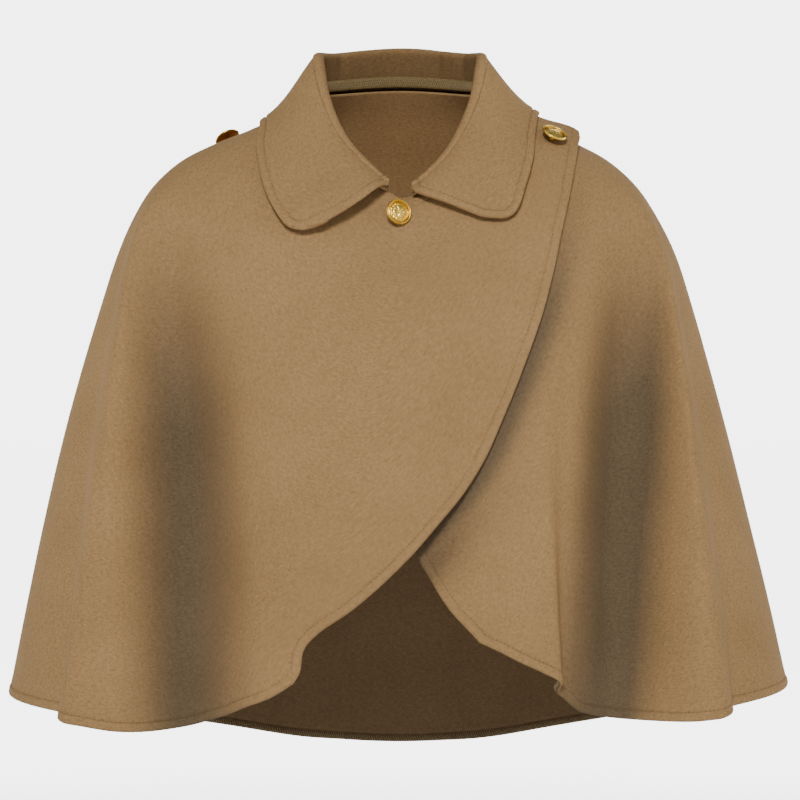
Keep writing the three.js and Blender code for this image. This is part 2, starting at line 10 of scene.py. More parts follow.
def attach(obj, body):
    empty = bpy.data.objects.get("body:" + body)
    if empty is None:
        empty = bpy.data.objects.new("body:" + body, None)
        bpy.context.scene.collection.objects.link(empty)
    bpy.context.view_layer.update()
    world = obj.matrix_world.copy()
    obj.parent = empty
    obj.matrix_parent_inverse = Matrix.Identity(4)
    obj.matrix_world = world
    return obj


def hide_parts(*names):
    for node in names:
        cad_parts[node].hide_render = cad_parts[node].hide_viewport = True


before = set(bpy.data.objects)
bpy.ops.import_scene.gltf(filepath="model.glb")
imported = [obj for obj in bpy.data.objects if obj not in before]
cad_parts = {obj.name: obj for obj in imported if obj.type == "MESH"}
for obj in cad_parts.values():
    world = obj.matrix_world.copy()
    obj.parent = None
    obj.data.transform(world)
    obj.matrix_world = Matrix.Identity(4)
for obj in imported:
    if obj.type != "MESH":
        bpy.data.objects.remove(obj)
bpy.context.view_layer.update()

# Sizes are in millimetres up to make_object, which turns them into metres.
MM = 0.001
WALL = 2.2
LAYER_GAP = 2.6
SEAM_GAP = 0.3
COLLAR_WALL = 3.2
ROLL_RADIUS = 3.5
COLLAR_CLEARANCE = 3
COLLAR_END = 173
STAND_LEAN = 0.14
FLAP_LIFT = 6
FLAP_REACH = 28
FRONT_SWEEP = 2
BACK_SWEEP = 1.15
SIDE_SEAM = 90
WRAP_CORNER_LEVEL = 0.137
WRAP_TOP_ANGLE = 86
FLAP_TOP_LEVEL = 0.022
FOLD_MIDDLE = 0.62
LEAN_AT_MIDDLE = 0.1
UNDER_FALL = 20
UNDER_FLAT = 6
UNDER_FADE = 34
WRAP_SHADOW_FADE = 15
OVERLAP_START = -50
OVERLAP_FULL = -18
OVERLAP_FADE = 20
CREASE_LENGTH = 560
CREASE_ROUND = 0.85
NORMAL_TURN = 0.2
NORMAL_STEP = 0.002
HEM_HIGH = 0.7
HEM_DEEP = 1.06
ROWS = 110
BACK_ROWS = 122
ROUGH_ROWS = 60
STITCH_EDGE = 7.6
PANEL_HALF = 1.25
PANEL_EDGE_HALF = 2.15
STITCH_BLEND = 1.5
GROOVE_DEPTH = 0.72
GROOVE_WIDTH = 0.85
PUFF_HEIGHT = 0.16
PUFF_AT = 3.2
PUFF_WIDTH = 2.4
SEAM_ROLL = 1.3


def table(columns, rows):
    """A table with named columns, as a dict of arrays."""
    return dict(zip(columns.split(), np.array(rows, float).T))


# The worn form at each level from the neck (0) to the hem (1).
LEVELS = table("level right_x right_z left_x left_z front_y front_z back_y back_z square", [
    (0.00, 70, 4, 70, 4, 72, -90, 55, 14, 2.0),
    (0.05, 98, -11, 98, -11, 85, -106, 74, -7, 2.0),
    (0.10, 129, -26, 126, -26, 97, -127, 90, -32, 2.05),
    (0.15, 161, -39, 154, -39, 108, -148, 103, -55, 2.1),
    (0.20, 190, -54, 181, -54, 118, -170, 113, -81, 2.2),
    (0.25, 214, -76, 205, -76, 126, -194, 121, -110, 2.3),
    (0.30, 231, -103, 223, -103, 132, -219, 127, -141, 2.35),
    (0.36, 245, -135, 239, -135, 137, -247, 133, -176, 2.35),
    (0.44, 259, -178, 253, -178, 143, -284, 141, -222, 2.3),
    (0.54, 277, -238, 270, -238, 151, -327, 151, -280, 2.3),
    (0.64, 293, -298, 286, -298, 161, -370, 163, -340, 2.3),
    (0.76, 309, -368, 303, -367, 174, -422, 179, -416, 2.3),
    (0.88, 324, -441, 320, -437, 190, -477, 197, -496, 2.3),
    (1.00, 338, -513, 335, -505, 206, -533, 216, -584, 2.3),
])

# Crests and troughs of the hanging folds, in order round the body.
FOLDS = table("top low start mid hem lean", [
    (-176, -168, 0.3, 4, 8, 0), (-158, -151, 0.3, -8, -16, 0), (-140, -134, 0.25, 7, 16, -3),
    (-124, -119, 0.25, -8, -17, 0), (-108, -104, 0.3, 3, 7, 2), (-90, -90, 0.3, 0, 0, 0),
    (-87, -68, 0.24, -6, -9, 6), (-82, -56.5, 0.18, 11, 32, -4), (-76, -42, 0.12, -15, -3, 0),
    (-40, -22, 0.35, 4, 7, 0), (2, 2, 0.3, -3, -6, 0), (32, 22, 0.4, 2, 4, 2),
    (50, 29.6, 0.4, 4, 13, 9), (58, 37, 0.4, -7, -12, -9), (75, 44, 0.2, -17, -12, 0),
    (82, 56, 0.22, 11, 25, 4), (87, 68, 0.26, -6, -9, -6), (90, 90, 0.3, 0, 0, 0),
    (106, 103, 0.3, 3, 8, 0), (124, 120, 0.25, -9, -18, 0), (142, 137, 0.25, 7, 15, 3),
    (160, 155, 0.3, -7, -13, 0), (174, 173, 0.35, 4, 8, 0),
])

# Deep troughs between the body and the arms, where the cloth falls back towards the wearer.
DEEP_TROUGHS = table("top low inner outer start mid hem", [
    (-79, -43.5, 28, 9, 0.22, 38, 36),
    (80, 46.5, 20, 8, 0.22, 40, 36),
])
TROUGH_SKEW = 1.8

# Free front edges and the hems of the fronts, as in the cut.
WRAP_EDGE = table("z x", [
    (-30, 142), (-59, 139.5), (-83, 136), (-112, 131), (-149, 124.5), (-186, 115.5),
    (-239, 97), (-279, 81), (-308, 68), (-340, 48), (-383, 12), (-409, -14),
    (-431, -40), (-449, -66), (-462, -77), (-480, -80), (-492, -87), (-520, -104),
])
UNDER_EDGE = table("z x", [
    (-60, -24), (-150, -24), (-250, -18), (-320, -7), (-360, 4), (-385, 14),
    (-411, 27), (-432, 41), (-453, 61), (-480, 84),
])
RIGHT_HEM = table("low z", [
    (-90, -513), (-68, -519), (-56.5, -523), (-47, -530), (-37.5, -519),
    (-32, -509), (-27, -500), (-23, -488),
])
LEFT_HEM = table("low z", [
    (16.5, -451), (22, -464.5), (26, -475.5), (29.6, -485), (37, -501), (40, -514),
    (44, -520.5), (49, -523), (56, -519), (68, -513), (90, -505),
])
COLLAR = table("around stand edge_around edge_level lift", [
    (-173, 8, -147.2, 0.147, 7), (-172.3, 8.1, -146.1, 0.163, 7), (-171.2, 8.4, -144.6, 0.177, 6.5),
    (-169.6, 8.9, -142.8, 0.189, 6), (-167.4, 9.6, -140.9, 0.196, 5.5), (-164.5, 10.4, -138.6, 0.2, 5),
    (-160.5, 11.3, -136.4, 0.198, 4.5), (-155, 12, -133.8, 0.192, 4), (-148, 12.6, -130.6, 0.182, 3.6),
    (-138, 13.2, -126, 0.164, 3.2), (-127, 15.5, -120.5, 0.141, 2.2), (-116, 20, -113.5, 0.119, 1.4),
    (-103.4, 29, -103.4, 0.094, 1.2), (-90, 34, -90, 0.086, 1.2), (-60, 33, -60, 0.088, 1.6),
    (-30, 34, -30, 0.09, 3), (0, 34.5, 0, 0.092, 3), (30, 34, 30, 0.09, 3), (60, 33, 60, 0.086, 1.6),
    (90, 34, 90, 0.083, 1.2), (104, 28.4, 103, 0.088, 1.2), (117, 19.4, 113.5, 0.107, 1.4),
    (129, 15, 120.5, 0.13, 2.2), (140, 13, 126, 0.15, 2.8), (149, 12.6, 130.2, 0.167, 3.4),
    (155.5, 12, 133.2, 0.181, 3.8), (160.5, 11.3, 135.3, 0.188, 4.2), (164.2, 10.4, 137.1, 0.19, 4.6),
    (167.2, 9.6, 139, 0.187, 4.8), (169.6, 8.9, 140.9, 0.179, 5), (171.6, 8.3, 143.1, 0.167, 5),
    (173, 8, 145.4, 0.153, 5),
])

# Soft creases: a line from one angle and level to another, its width and its depth.
CREASES = table("angle_a level_a angle_b level_b width depth", [
    (60, 0.16, 20, 0.42, 16, 1.3), (70, 0.20, 38, 0.55, 18, -1.2), (-35, 0.20, -12, 0.36, 20, 1.0),
    (-62, 0.18, -34, 0.50, 17, -1.2), (-20, 0.50, -28, 0.90, 15, 1.3), (12, 0.55, 6, 0.78, 18, -1.0),
    (80, 0.24, 62, 0.42, 12, 1.4), (-80, 0.22, -68, 0.40, 13, 1.3), (130, 0.16, 152, 0.34, 18, -1.2),
    (-128, 0.15, -148, 0.36, 16, 1.3), (176, 0.14, 168, 0.40, 22, 1.2), (-112, 0.30, -118, 0.62, 17, -1.3),
    (112, 0.26, 119, 0.55, 15, 1.2), (-165, 0.45, -161, 0.86, 20, 1.3), (148, 0.52, 150, 0.90, 17, -1.2),
    (-78, 0.16, -46.5, 1.4, 6, 2.2), (78, 0.16, 45.6, 1.4, 6, 2.0),
])

# Painted shade beside each deep trough, where little light reaches: the nap's colour is darkened there.
SHADOWS = table("top low inner outer depth", [
    (-79, -44, 19, 7, 1.0),
    (83.5, 45.8, 18, 4.5, 1.15),
])


def lerp(a, b, t):
    return a + (b - a) * t


def smooth(x, low, high):
    t = np.clip((x - low) / (high - low), 0, 1)
    return t * t * (3 - 2 * t)


def hill(x, width):
    """1 where x is 0, and down to 0 on both sides."""
    return np.exp(-((x / width) ** 2))


def hermite(a, b, slope_a, slope_b, span, t):
    return (a * (2 * t**3 - 3 * t**2 + 1) + slope_a * span * (t**3 - 2 * t**2 + t)
            + b * (3 * t**2 - 2 * t**3) + slope_b * span * (t**3 - t**2))


def curve(keys, values, at):
    """A smooth curve through a table, straight beyond both ends."""
    if keys[0] > keys[-1]:
        keys, values = keys[::-1], values[::-1]
    slope = np.empty(len(keys))
    slope[1:-1] = (values[2:] - values[:-2]) / (keys[2:] - keys[:-2])
    slope[0] = (values[1] - values[0]) / (keys[1] - keys[0])
    slope[-1] = (values[-1] - values[-2]) / (keys[-1] - keys[-2])
    at = np.asarray(at, float)
    i = np.clip(np.searchsorted(keys, at) - 1, 0, len(keys) - 2)
    span = keys[i + 1] - keys[i]
    t = (at - keys[i]) / span
    inside = hermite(values[i], values[i + 1], slope[i], slope[i + 1], span, t)
    below = values[0] + slope[0] * (at - keys[0])
    above = values[-1] + slope[-1] * (at - keys[-1])
    return np.where(at < keys[0], below, np.where(at > keys[-1], above, inside))


def solve(difference, low, high, shape):
    """Where a rising or falling function changes sign, for a whole array at once."""
    low = np.full(shape, float(low))
    high = np.full(shape, float(high))
    sign = np.sign(difference(low))
    for _ in range(30):
        middle = (low + high) / 2
        same = np.sign(difference(middle)) == sign
        low = np.where(same, middle, low)
        high = np.where(same, high, middle)
    return (low + high) / 2


def unit(v):
    return v / np.maximum(np.linalg.norm(v, axis=-1, keepdims=True), 1e-9)


# The form of the worn cloth

def body_form(angle, level):
    turn = np.radians(angle)
    value = {name: curve(LEVELS["level"], LEVELS[name], level) for name in LEVELS if name != "level"}
    front = np.cos(turn) > 0
    left = np.sin(turn) > 0
    depth = np.where(front, value["front_y"], value["back_y"])
    centre_z = np.where(front, value["front_z"], value["back_z"])
    width = np.where(left, value["left_x"], value["right_x"])
    side_z = np.where(left, value["left_z"], value["right_z"])
    across = np.abs(np.sin(turn))
    along = np.abs(np.cos(turn))
    power = value["square"]
    radius = ((across / width) ** power + (along / depth) ** power) ** (-1 / power)
    sweep = np.where(front, FRONT_SWEEP, BACK_SWEEP)
    z = side_z + (centre_z - side_z) * along**sweep
    return np.stack([radius * np.sin(turn), -radius * np.cos(turn), z], -1)


def fold_reach(start, reach, middle, level):
    """How far a fold line stands out, or leans, at a level: nothing at its start, full at the hem."""
    first = FOLD_MIDDLE - start
    rest = 1 - FOLD_MIDDLE
    slope_start = middle / first
    slope_middle = reach / (1 - start)
    slope_end = (reach - middle) / rest
    upper = hermite(0, middle, slope_start, slope_middle, first, (level - start) / first)
    lower = hermite(middle, reach, slope_middle, slope_end, rest, (level - FOLD_MIDDLE) / rest)
    past = reach + slope_end * (level - 1)
    course = np.where(level > 1, past, np.where(level > FOLD_MIDDLE, lower, upper))
    return np.where(level <= start, 0, course * smooth(level, start, start + 0.1))


def folds_at(angle, level):
    """The cloth swings evenly from each crest or trough to the next."""
    count = len(FOLDS["top"])
    turns = lerp(FOLDS["top"], FOLDS["low"], level[..., None])
    following = np.sum(turns <= angle[..., None], -1) % count
    last = (following - 1) % count
    pick = lambda index: np.take_along_axis(turns, index[..., None], -1)[..., 0]
    begin, end = pick(last), pick(following)
    share = ((angle - begin) % 360) / ((end - begin) % 360)
    blend = (1 - np.cos(math.pi * share)) / 2
    mixed = []
    for reach, middle in (("hem", FOLDS["mid"]), ("lean", FOLDS["lean"] * LEAN_AT_MIDDLE)):
        a = fold_reach(FOLDS["start"][last], FOLDS[reach][last], middle[last], level)
        b = fold_reach(FOLDS["start"][following], FOLDS[reach][following], middle[following], level)
        mixed.append(lerp(a, b, blend))
    return mixed


def trough_share(angle, level, top, low, inner, outer):
    """How far a place lies outside a trough's line, and its share: 1 on the line, 0 at its edges."""
    past = (angle - lerp(top, low, level)) * np.sign(low)
    return past, np.maximum(1 - np.abs(past) / np.where(past < 0, inner, outer), 0)


def trough_at(angle, level):
    """How far the cloth falls back in the deep troughs."""
    total = np.zeros(angle.shape)
    for top, low, inner, outer, start, middle, hem in zip(*DEEP_TROUGHS.values()):
        past, share = trough_share(angle, level, top, low, inner, outer)
        skewed = np.where(past < 0, share**TROUGH_SKEW, share)
        total += fold_reach(start, hem, middle, level) * np.sin(math.pi / 2 * skewed) ** 2
    return total


def shadow_at(angle, level):
    """How much painted shade the nap gets beside the deep troughs: 0 is its plain colour, 1 or more is
    darkest.
    """
    total = np.zeros(angle.shape)
    for *line, depth in zip(*SHADOWS.values()):
        share = trough_share(angle, level, *line)[1]
        total += depth * smooth(share, 0, 1) * smooth(level, 0.26, 0.6)
    return total


def crease_at(angle, level):
    """Soft troughs and ridges laid over the form."""
    total = np.zeros(angle.shape)
    reach = curve(LEVELS["level"], LEVELS["left_x"], level) * CREASE_ROUND
    for i, (angle_a, level_a, angle_b, level_b, width, depth) in enumerate(zip(*CREASES.values())):
        across = np.radians((angle - angle_a + 180) % 360 - 180) * reach
        down = (level - level_a) * CREASE_LENGTH
        whole_across = np.radians(angle_b - angle_a) * reach
        whole_down = (level_b - level_a) * CREASE_LENGTH
        t = np.clip((across * whole_across + down * whole_down) / (whole_across**2 + whole_down**2), 0, 1)
        gap = np.hypot(across - t * whole_across, down - t * whole_down)
        fade = smooth(t, -0.02, 0.3) * (1 - smooth(t, 0.6, 1.02))
        bend = 1 + 0.35 * np.sin(t * 5.0 + i)
        total += depth * bend * fade * hill(gap, width)
    return total


def cloth_point(angle, level):
    angle, level = np.broadcast_arrays(np.asarray(angle, float), np.asarray(level, float))
    point = body_form(angle, level)
    point[..., 1] += trough_at(angle, level)
    out, lean = folds_at(angle, level)
    outward = unit(point * (1, 1, 0))
    onward = np.stack([-outward[..., 1], outward[..., 0], np.zeros(angle.shape)], -1)
    out = out + crease_at(angle, level)
    return point + outward * out[..., None] + onward * lean[..., None]


def cloth_normal(angle, level):
    along = cloth_point(angle + NORMAL_TURN, level) - cloth_point(angle - NORMAL_TURN, level)
    down = cloth_point(angle, level + NORMAL_STEP) - cloth_point(angle, level - NORMAL_STEP)
    return unit(np.cross(down, along))


def offset_point(angle, level, offset):
    return cloth_point(angle, level) + cloth_normal(angle, level) * np.asarray(offset)[..., None]


def right_offset(angle, level):
    """The right front rises onto the left front where it overlaps it, and lifts at the flap's corner."""
    on_top = (WALL + LAYER_GAP) * smooth(angle, OVERLAP_START, OVERLAP_FULL)
    corner = cloth_point(WRAP_TOP_ANGLE, WRAP_CORNER_LEVEL)
    distance = np.linalg.norm(cloth_point(angle, level) - corner, axis=-1)
    return on_top + FLAP_LIFT * hill(distance, FLAP_REACH)


def past_edge(point, edge):
    """How far a point lies past a free front edge, towards the wearer's left."""
    return point[..., 0] - curve(edge["z"], edge["x"], point[..., 2])


def left_offset(angle, level):
    """The left front falls back a little where it comes out from under the wrap."""
    gap = past_edge(cloth_point(angle, level), WRAP_EDGE)
    beyond = hill(np.maximum(gap - UNDER_FLAT, 0), UNDER_FADE)
    return -UNDER_FALL * smooth(level, 0.5, 0.78) * beyond * smooth(gap, -60, -5)


def edge_line(edge, low, high, widest):
    """The angle at which a free edge crosses each level, as a function."""
    levels = np.linspace(low, high, 260)
    angles = solve(lambda angle: past_edge(cloth_point(angle, levels), edge), -60, widest, levels.shape)
    return lambda level: np.interp(level, levels, angles)


def corner_level(line, hem):
    """Level at which a free edge runs into the hem."""
    def above(level):
        angle = line(level)
        return cloth_point(angle, level)[..., 2] - curve(hem["low"], hem["z"], angle)
    return float(solve(above, HEM_HIGH, 1, ()))


def hem_at(angle_at, low_angle, hem):
    """Level at which each line down a front runs into the hem, whose height is read at a low angle."""
    height = curve(hem["low"], hem["z"], low_angle)
    above = lambda level: cloth_point(angle_at(level), level)[..., 2] - height
    return solve(above, HEM_HIGH, HEM_DEEP, height.shape)


# Meshes

def numbered(shape):
    return np.arange(math.prod(shape)).reshape(shape)


def grid_quads(index):
    return np.stack([index[:-1, :-1], index[1:, :-1], index[1:, 1:], index[:-1, 1:]], -1).reshape(-1, 4)


def ring_quads(index):
    """Quads between neighbouring rings, which lie along the index's last axis and are closed."""
    a, b = index[..., :-1, :], index[..., 1:, :]
    return np.stack([a, np.roll(a, -1, -1), np.roll(b, -1, -1), b], -1).reshape(-1, 4)


def shell(outer, inner):
    """Points and faces of a closed wall between two grids, and which faces look inward."""
    points = np.concatenate([outer.reshape(-1, 3), inner.reshape(-1, 3)])
    index = numbered(outer.shape[:2])
    inside = index.size
    front = grid_quads(index)
    back = front[:, [0, 3, 2, 1]] + inside

    def rim(line):
        return np.stack([line[:-1], line[1:], line[1:] + inside, line[:-1] + inside], -1)

    rims = [rim(index[0]), rim(index[-1][::-1]), rim(index[:, 0][::-1]), rim(index[:, -1])]
    faces = np.concatenate([front, back, *rims])
    inward = np.zeros(len(faces), bool)
    inward[len(front):len(front) + len(back)] = True
    return points, faces, inward


def add_value(obj, name, values):
    """A number at every point, which the materials read."""
    attribute = obj.data.attributes.new(name, "FLOAT", "POINT")
    attribute.data.foreach_set("value", np.asarray(values, np.float32).ravel())


def put_in_scene(name, data):
    obj = bpy.data.objects.new(name, data)
    bpy.context.scene.collection.objects.link(obj)
    return obj


def make_object(name, points, faces, materials, slots=None, uv=None):
    if isinstance(faces, np.ndarray):
        faces = faces.tolist()
    mesh = bpy.data.meshes.new(name)
    mesh.from_pydata((np.asarray(points) * MM).tolist(), [], [tuple(f) for f in faces])
    for material in materials:
        mesh.materials.append(material)
    if slots is not None:
        mesh.polygons.foreach_set("material_index", np.asarray(slots, np.int32))
    mesh.polygons.foreach_set("use_smooth", np.ones(len(mesh.polygons), bool))
    if uv is not None:
        layer = mesh.uv_layers.new(name="cloth")
        corner = np.empty(len(mesh.loops), np.int32)
        mesh.loops.foreach_get("vertex_index", corner)
        layer.data.foreach_set("uv", (np.asarray(uv)[corner] * MM).astype(np.float32).ravel())
    mesh.update()
    return put_in_scene(name, mesh)


def point_tree(points):
    tree = KDTree(len(points))
    for i, p in enumerate(points):
        tree.insert(p, i)
    tree.balance()
    return tree


def edge_distance(points, line):
    """Distance from each point to a polyline."""
    tree = point_tree(line)
    flat = points.reshape(-1, 3)
    near = np.array([tree.find(p)[1] for p in flat])
    best = np.full(len(flat), 1e9)
    for step in (-2, -1, 0, 1):
        i = np.clip(near + step, 0, len(line) - 2)
        a, b = line[i], line[i + 1]
        run = b - a
        t = np.sum((flat - a) * run, -1) / np.maximum(np.sum(run * run, -1), 1e-9)
        foot = a + run * np.clip(t, 0, 1)[:, None]
        best = np.minimum(best, np.linalg.norm(flat - foot, axis=-1))
    return best.reshape(points.shape[:-1])


def wander(points, size, seed):
    """A smooth uneven field between about -1 and 1, from a few sine waves."""
    rng = np.random.default_rng(seed)
    total = np.zeros(points.shape[:-1])
    for _ in range(7):
        way = unit(rng.normal(size=3))
        total += np.sin(points @ way * (2 * math.pi / (size * rng.uniform(0.6, 1.6))) + rng.uniform(0, 6.3))
    return total / 4.2


def half_thickness(free, seam, body, turned, stitch):
    """Half the wall by its distance from a turned and stitched edge, and from a seam."""
    half = lerp(turned, body, smooth(free, stitch - STITCH_BLEND, stitch + STITCH_BLEND))
    half = half - GROOVE_DEPTH * body * hill(free - stitch, GROOVE_WIDTH)
    half = half + PUFF_HEIGHT * body * hill(free - stitch - PUFF_AT, PUFF_WIDTH)
    lip = np.clip(free / turned, 0, 1)
    half = half * np.sqrt(np.maximum(1 - (1 - lip) ** 2, 0.006))
    roll = np.clip(seam / SEAM_ROLL, 0, 1)
    return half * np.sqrt(np.maximum(1 - (1 - roll) ** 2, 0.05))


EDGE_STEPS = np.array([0, 0.08, 0.25, 0.55, 0.95, 1.5, 2.3, 3.4, 4.6, 5.6, 6.3, 6.8, 7.2, 7.6, 8.0, 8.5,
                       9.1, 10, 11.4, 13.5, 16.5])
SEAM_STEPS = np.array([0.15, 0.35, 0.65, 1.05, 1.6, 2.6, 4.2])


def fold_index(low):
    return int(np.argmin(np.abs(FOLDS["low"] - low)))


def fold_lines(first, last, parts):
    """Lines that run with the folds from one fold to another, as their top and low angles."""
    count = len(FOLDS["top"])
    tops, lows = [FOLDS["top"][first]], [FOLDS["low"][first]]
    fold = first
    while fold != last:
        following = (fold + 1) % count
        turn = 360 if FOLDS["low"][following] < FOLDS["low"][fold] else 0
        for part in range(1, parts + 1):
            for line, angles in ((tops, FOLDS["top"]), (lows, FOLDS["low"])):
                line.append(lerp(angles[fold], angles[following] + turn, part / parts))
        fold = following
    return np.array(tops), np.array(lows)


def rows_between(steps_top, steps_low, length, count):
    """Shares from 0 to 1 along a length, closer together at the ends where steps are given."""
    top = steps_top[:, None] / length if len(steps_top) else np.zeros((1, len(length)))
    low = 1 - steps_low[::-1, None] / length
    inner = lerp(top[-1], low[0], np.linspace(0, 1, count + 2)[1:-1, None])
    return np.concatenate([top, inner, low])


def run_length(points, axis):
    step = np.linalg.norm(np.diff(points, axis=axis), axis=-1)
    total = np.cumsum(step, axis=axis)
    pad = [(0, 0)] * total.ndim
    pad[axis] = (1, 0)
    return np.pad(total, pad)


def down_columns(spots, columns, steps_top, count):
    """Angles and levels of a grid whose rows are set by the real length down each column."""
    rough = np.broadcast_to(np.linspace(0, 1, ROUGH_ROWS)[:, None], (ROUGH_ROWS, columns))
    length = run_length(cloth_point(*spots(rough)), 0)[-1]
    return spots(rows_between(steps_top, EDGE_STEPS, length, count))


def front_grid(side, guide_low, parts, spread, edge_at, end_level, hem, top_level):
    """Angles and levels of a front: columns run with the folds, then spread to the free edge."""
    seam = fold_index(side * SIDE_SEAM)
    guide = fold_index(guide_low)
    if side < 0:
        tops, lows = fold_lines(seam, guide, parts)
    else:
        tops, lows = (line[::-1] for line in fold_lines(guide, seam, parts))
    first_gap = len(SEAM_STEPS)
    tops, lows = (np.concatenate([np.full(first_gap, line[0]), line[1:]]) for line in (tops, lows))
    fixed = len(tops)
    shift = np.concatenate([SEAM_STEPS, np.zeros(fixed - first_gap)])
    guide_top, guide_foot = tops[-1], lows[-1]
    top_angle = float(edge_at(np.array(0.0)))
    end_angle = float(edge_at(np.array(end_level)))

    def line_angle(level):
        width = curve(LEVELS["level"], LEVELS["left_x"], level)
        return lerp(tops, lows, level) - side * np.degrees(shift / width)

    def spread_angle(s, level, edge):
        return lerp(lerp(guide_top, guide_foot, level), edge, s)

    def spread_low(s):
        found = hem_at(lambda level: spread_angle(s, level, end_angle), lerp(guide_foot, end_angle, s), hem)
        return np.where(s >= 1, end_level, found)

    def spread_high(s):
        return top_level(lerp(guide_top, top_angle, s))

    # The width of the part that spreads, along each row, is measured on a coarse grid.
    rough = np.linspace(0, 1, 90)
    share = np.linspace(0, 1, 60)
    level = lerp(spread_high(share), spread_low(share), rough[:, None])
    angle = spread_angle(share, level, edge_at(rough[:, None] * end_level))
    widths = run_length(cloth_point(angle, level), 1)[:, -1]
    shares_of = lambda v: rows_between(np.array([]), EDGE_STEPS, np.interp(v, rough, widths), spread)[1:]

    low_fixed, high_fixed = hem_at(line_angle, lows, hem), top_level(tops)
    low_spread = spread_low(shares_of(np.array([1.0]))[:, 0])
    high_spread = spread_high(shares_of(np.array([0.0]))[:, 0])

    def spots(v):
        part = v[:, fixed:]
        s = np.stack([shares_of(part[:, k])[k] for k in range(part.shape[1])], 1)
        fixed_level = lerp(high_fixed, low_fixed, v[:, :fixed])
        free_level = lerp(high_spread, low_spread, part)
        free_angle = spread_angle(s, free_level, edge_at(part * end_level))
        return (np.concatenate([line_angle(fixed_level), free_angle], 1),
                np.concatenate([fixed_level, free_level], 1))

    angle, level = down_columns(spots, fixed + len(low_spread), EDGE_STEPS, ROWS)
    return (angle[:, ::-1], level[:, ::-1]) if side > 0 else (angle, level)


def back_grid():
    """Angles and levels of the back, with fine columns beside both side seams."""
    ends = len(SEAM_STEPS)
    tops, lows = (np.concatenate([np.full(ends, line[0]), line[1:-1], np.full(ends, line[-1])])
                  for line in fold_lines(fold_index(SIDE_SEAM), fold_index(-SIDE_SEAM), 18))
    shift = np.concatenate([SEAM_STEPS, np.zeros(len(tops) - 2 * ends), -SEAM_STEPS[::-1]])

    def spots(v):
        width = curve(LEVELS["level"], LEVELS["left_x"], v)
        angle = lerp(tops, lows, v) + np.degrees(shift / width)
        return np.where(angle > 180, angle - 360, angle), v

    return down_columns(spots, len(tops), SEAM_STEPS - SEAM_STEPS[0], BACK_ROWS)


def skins(middle, normal, half, lift):
    """The two faces of a wall of cloth, moved out together by its lift."""
    return middle + normal * (half + lift)[..., None], middle - normal * (half - lift)[..., None]


def panel_faces(angle, level, offset, free_line, seam_lines):
    """Outer and inner grids of a panel, its middle, its normals and its distance from the free edge."""
    normal = cloth_normal(angle, level)
    middle = cloth_point(angle, level) + normal * (offset - WALL / 2)[..., None]
    free = edge_distance(middle, free_line(middle))
    seam = np.min([edge_distance(middle, line) for line in seam_lines(middle)], axis=0)
    half = half_thickness(free, seam, PANEL_HALF, PANEL_EDGE_HALF, STITCH_EDGE)
    near = hill(free - 6, 6)
    lift = 0.22 * near * wander(middle, 26, 3) + 0.1 * near * wander(middle, 9, 4)
    return *skins(middle, normal, half, lift), middle, normal, free


def uv_of(middle, origin):
    across = run_length(middle, 1)
    across = across - across[:, [origin]]
    down = run_length(middle, 0)
    both = np.stack([across, down], -1).reshape(-1, 2)
    return np.concatenate([both, both])


# Materials

def linear(r, g, b):
    """A colour given as 0 to 255 on a screen, as light."""
    values = [c / 255 for c in (r, g, b)]
    return tuple(c / 12.92 if c <= 0.04045 else ((c + 0.055) / 1.055) ** 2.4 for c in values) + (1.0,)


class Nodes:
    """Short calls for building a material's nodes."""

    def __init__(self, name):
        self.material = bpy.data.materials.new(name)
        self.material.use_nodes = True
        self.tree = self.material.node_tree
        self.shader = self.tree.nodes["Principled BSDF"]
        self.place = self.add("ShaderNodeTexCoord").outputs["Object"]

    def add(self, kind, inputs=None, **settings):
        node = self.tree.nodes.new(kind)
        for key, value in settings.items():
            setattr(node, key, value)
        for key, value in (inputs or {}).items():
            self.put(node.inputs[key], value)
        return node

    def put(self, socket, value):
        if isinstance(value, bpy.types.NodeSocket):
            self.tree.links.new(value, socket)
        else:
            socket.default_value = value

    def finish(self, **values):
        """Sets the shader's own sockets, named with _ for a space."""
        for name, value in values.items():
            self.put(self.shader.inputs[name.replace("_", " ")], value)
        return self.material

    def ramp(self, factor, *stops):
        """A colour that passes through the stops, each a place and its colour."""
        node = self.add("ShaderNodeValToRGB", {"Fac": factor})
        elements = node.color_ramp.elements
        while len(elements) < len(stops):
            elements.new(0.5)
        for element, (place, colour) in zip(elements, stops):
            element.position = place
            element.color = tuple(colour)[:3] + (1,)
        return node.outputs["Color"]

    def noise(self, vector, scale, detail=3.0, roughness=0.55):
        node = self.add("ShaderNodeTexNoise", {"Vector": vector, "Scale": scale, "Detail": detail,
                                               "Roughness": roughness})
        return node.outputs["Fac"]

    def stretched(self, vector, scale):
        """Fine noise drawn out along one way of the cloth."""
        longer = self.add("ShaderNodeMapping", {"Vector": vector, "Scale": scale}).outputs["Vector"]
        return self.noise(longer, 1.0, 2, 0.6)

    def attribute(self, name):
        return self.add("ShaderNodeAttribute", attribute_name=name).outputs["Fac"]

    def math(self, operation, a, b=0.0, c=0.0):
        return self.add("ShaderNodeMath", {0: a, 1: b, 2: c}, operation=operation).outputs[0]

    def times(self, a, b):
        node = self.add("ShaderNodeMix", data_type="RGBA", blend_type="MULTIPLY")
        self.put(node.inputs[0], 1.0)
        self.put(node.inputs[6], a)
        self.put(node.inputs[7], b)
        return node.outputs[2]

    def bump(self, height, strength, distance, normal=None):
        inputs = {"Height": height, "Strength": strength, "Distance": distance}
        if normal is not None:
            inputs["Normal"] = normal
        return self.add("ShaderNodeBump", inputs).outputs["Normal"]


PLAIN = (1, 1, 1)
NAP_IN_SHADOW = (0.4, 0.46, 0.6)
STAND_SHADE_TINT = (1.0, 0.86, 0.66)
SHEEN_TINT = (214, 184, 140)


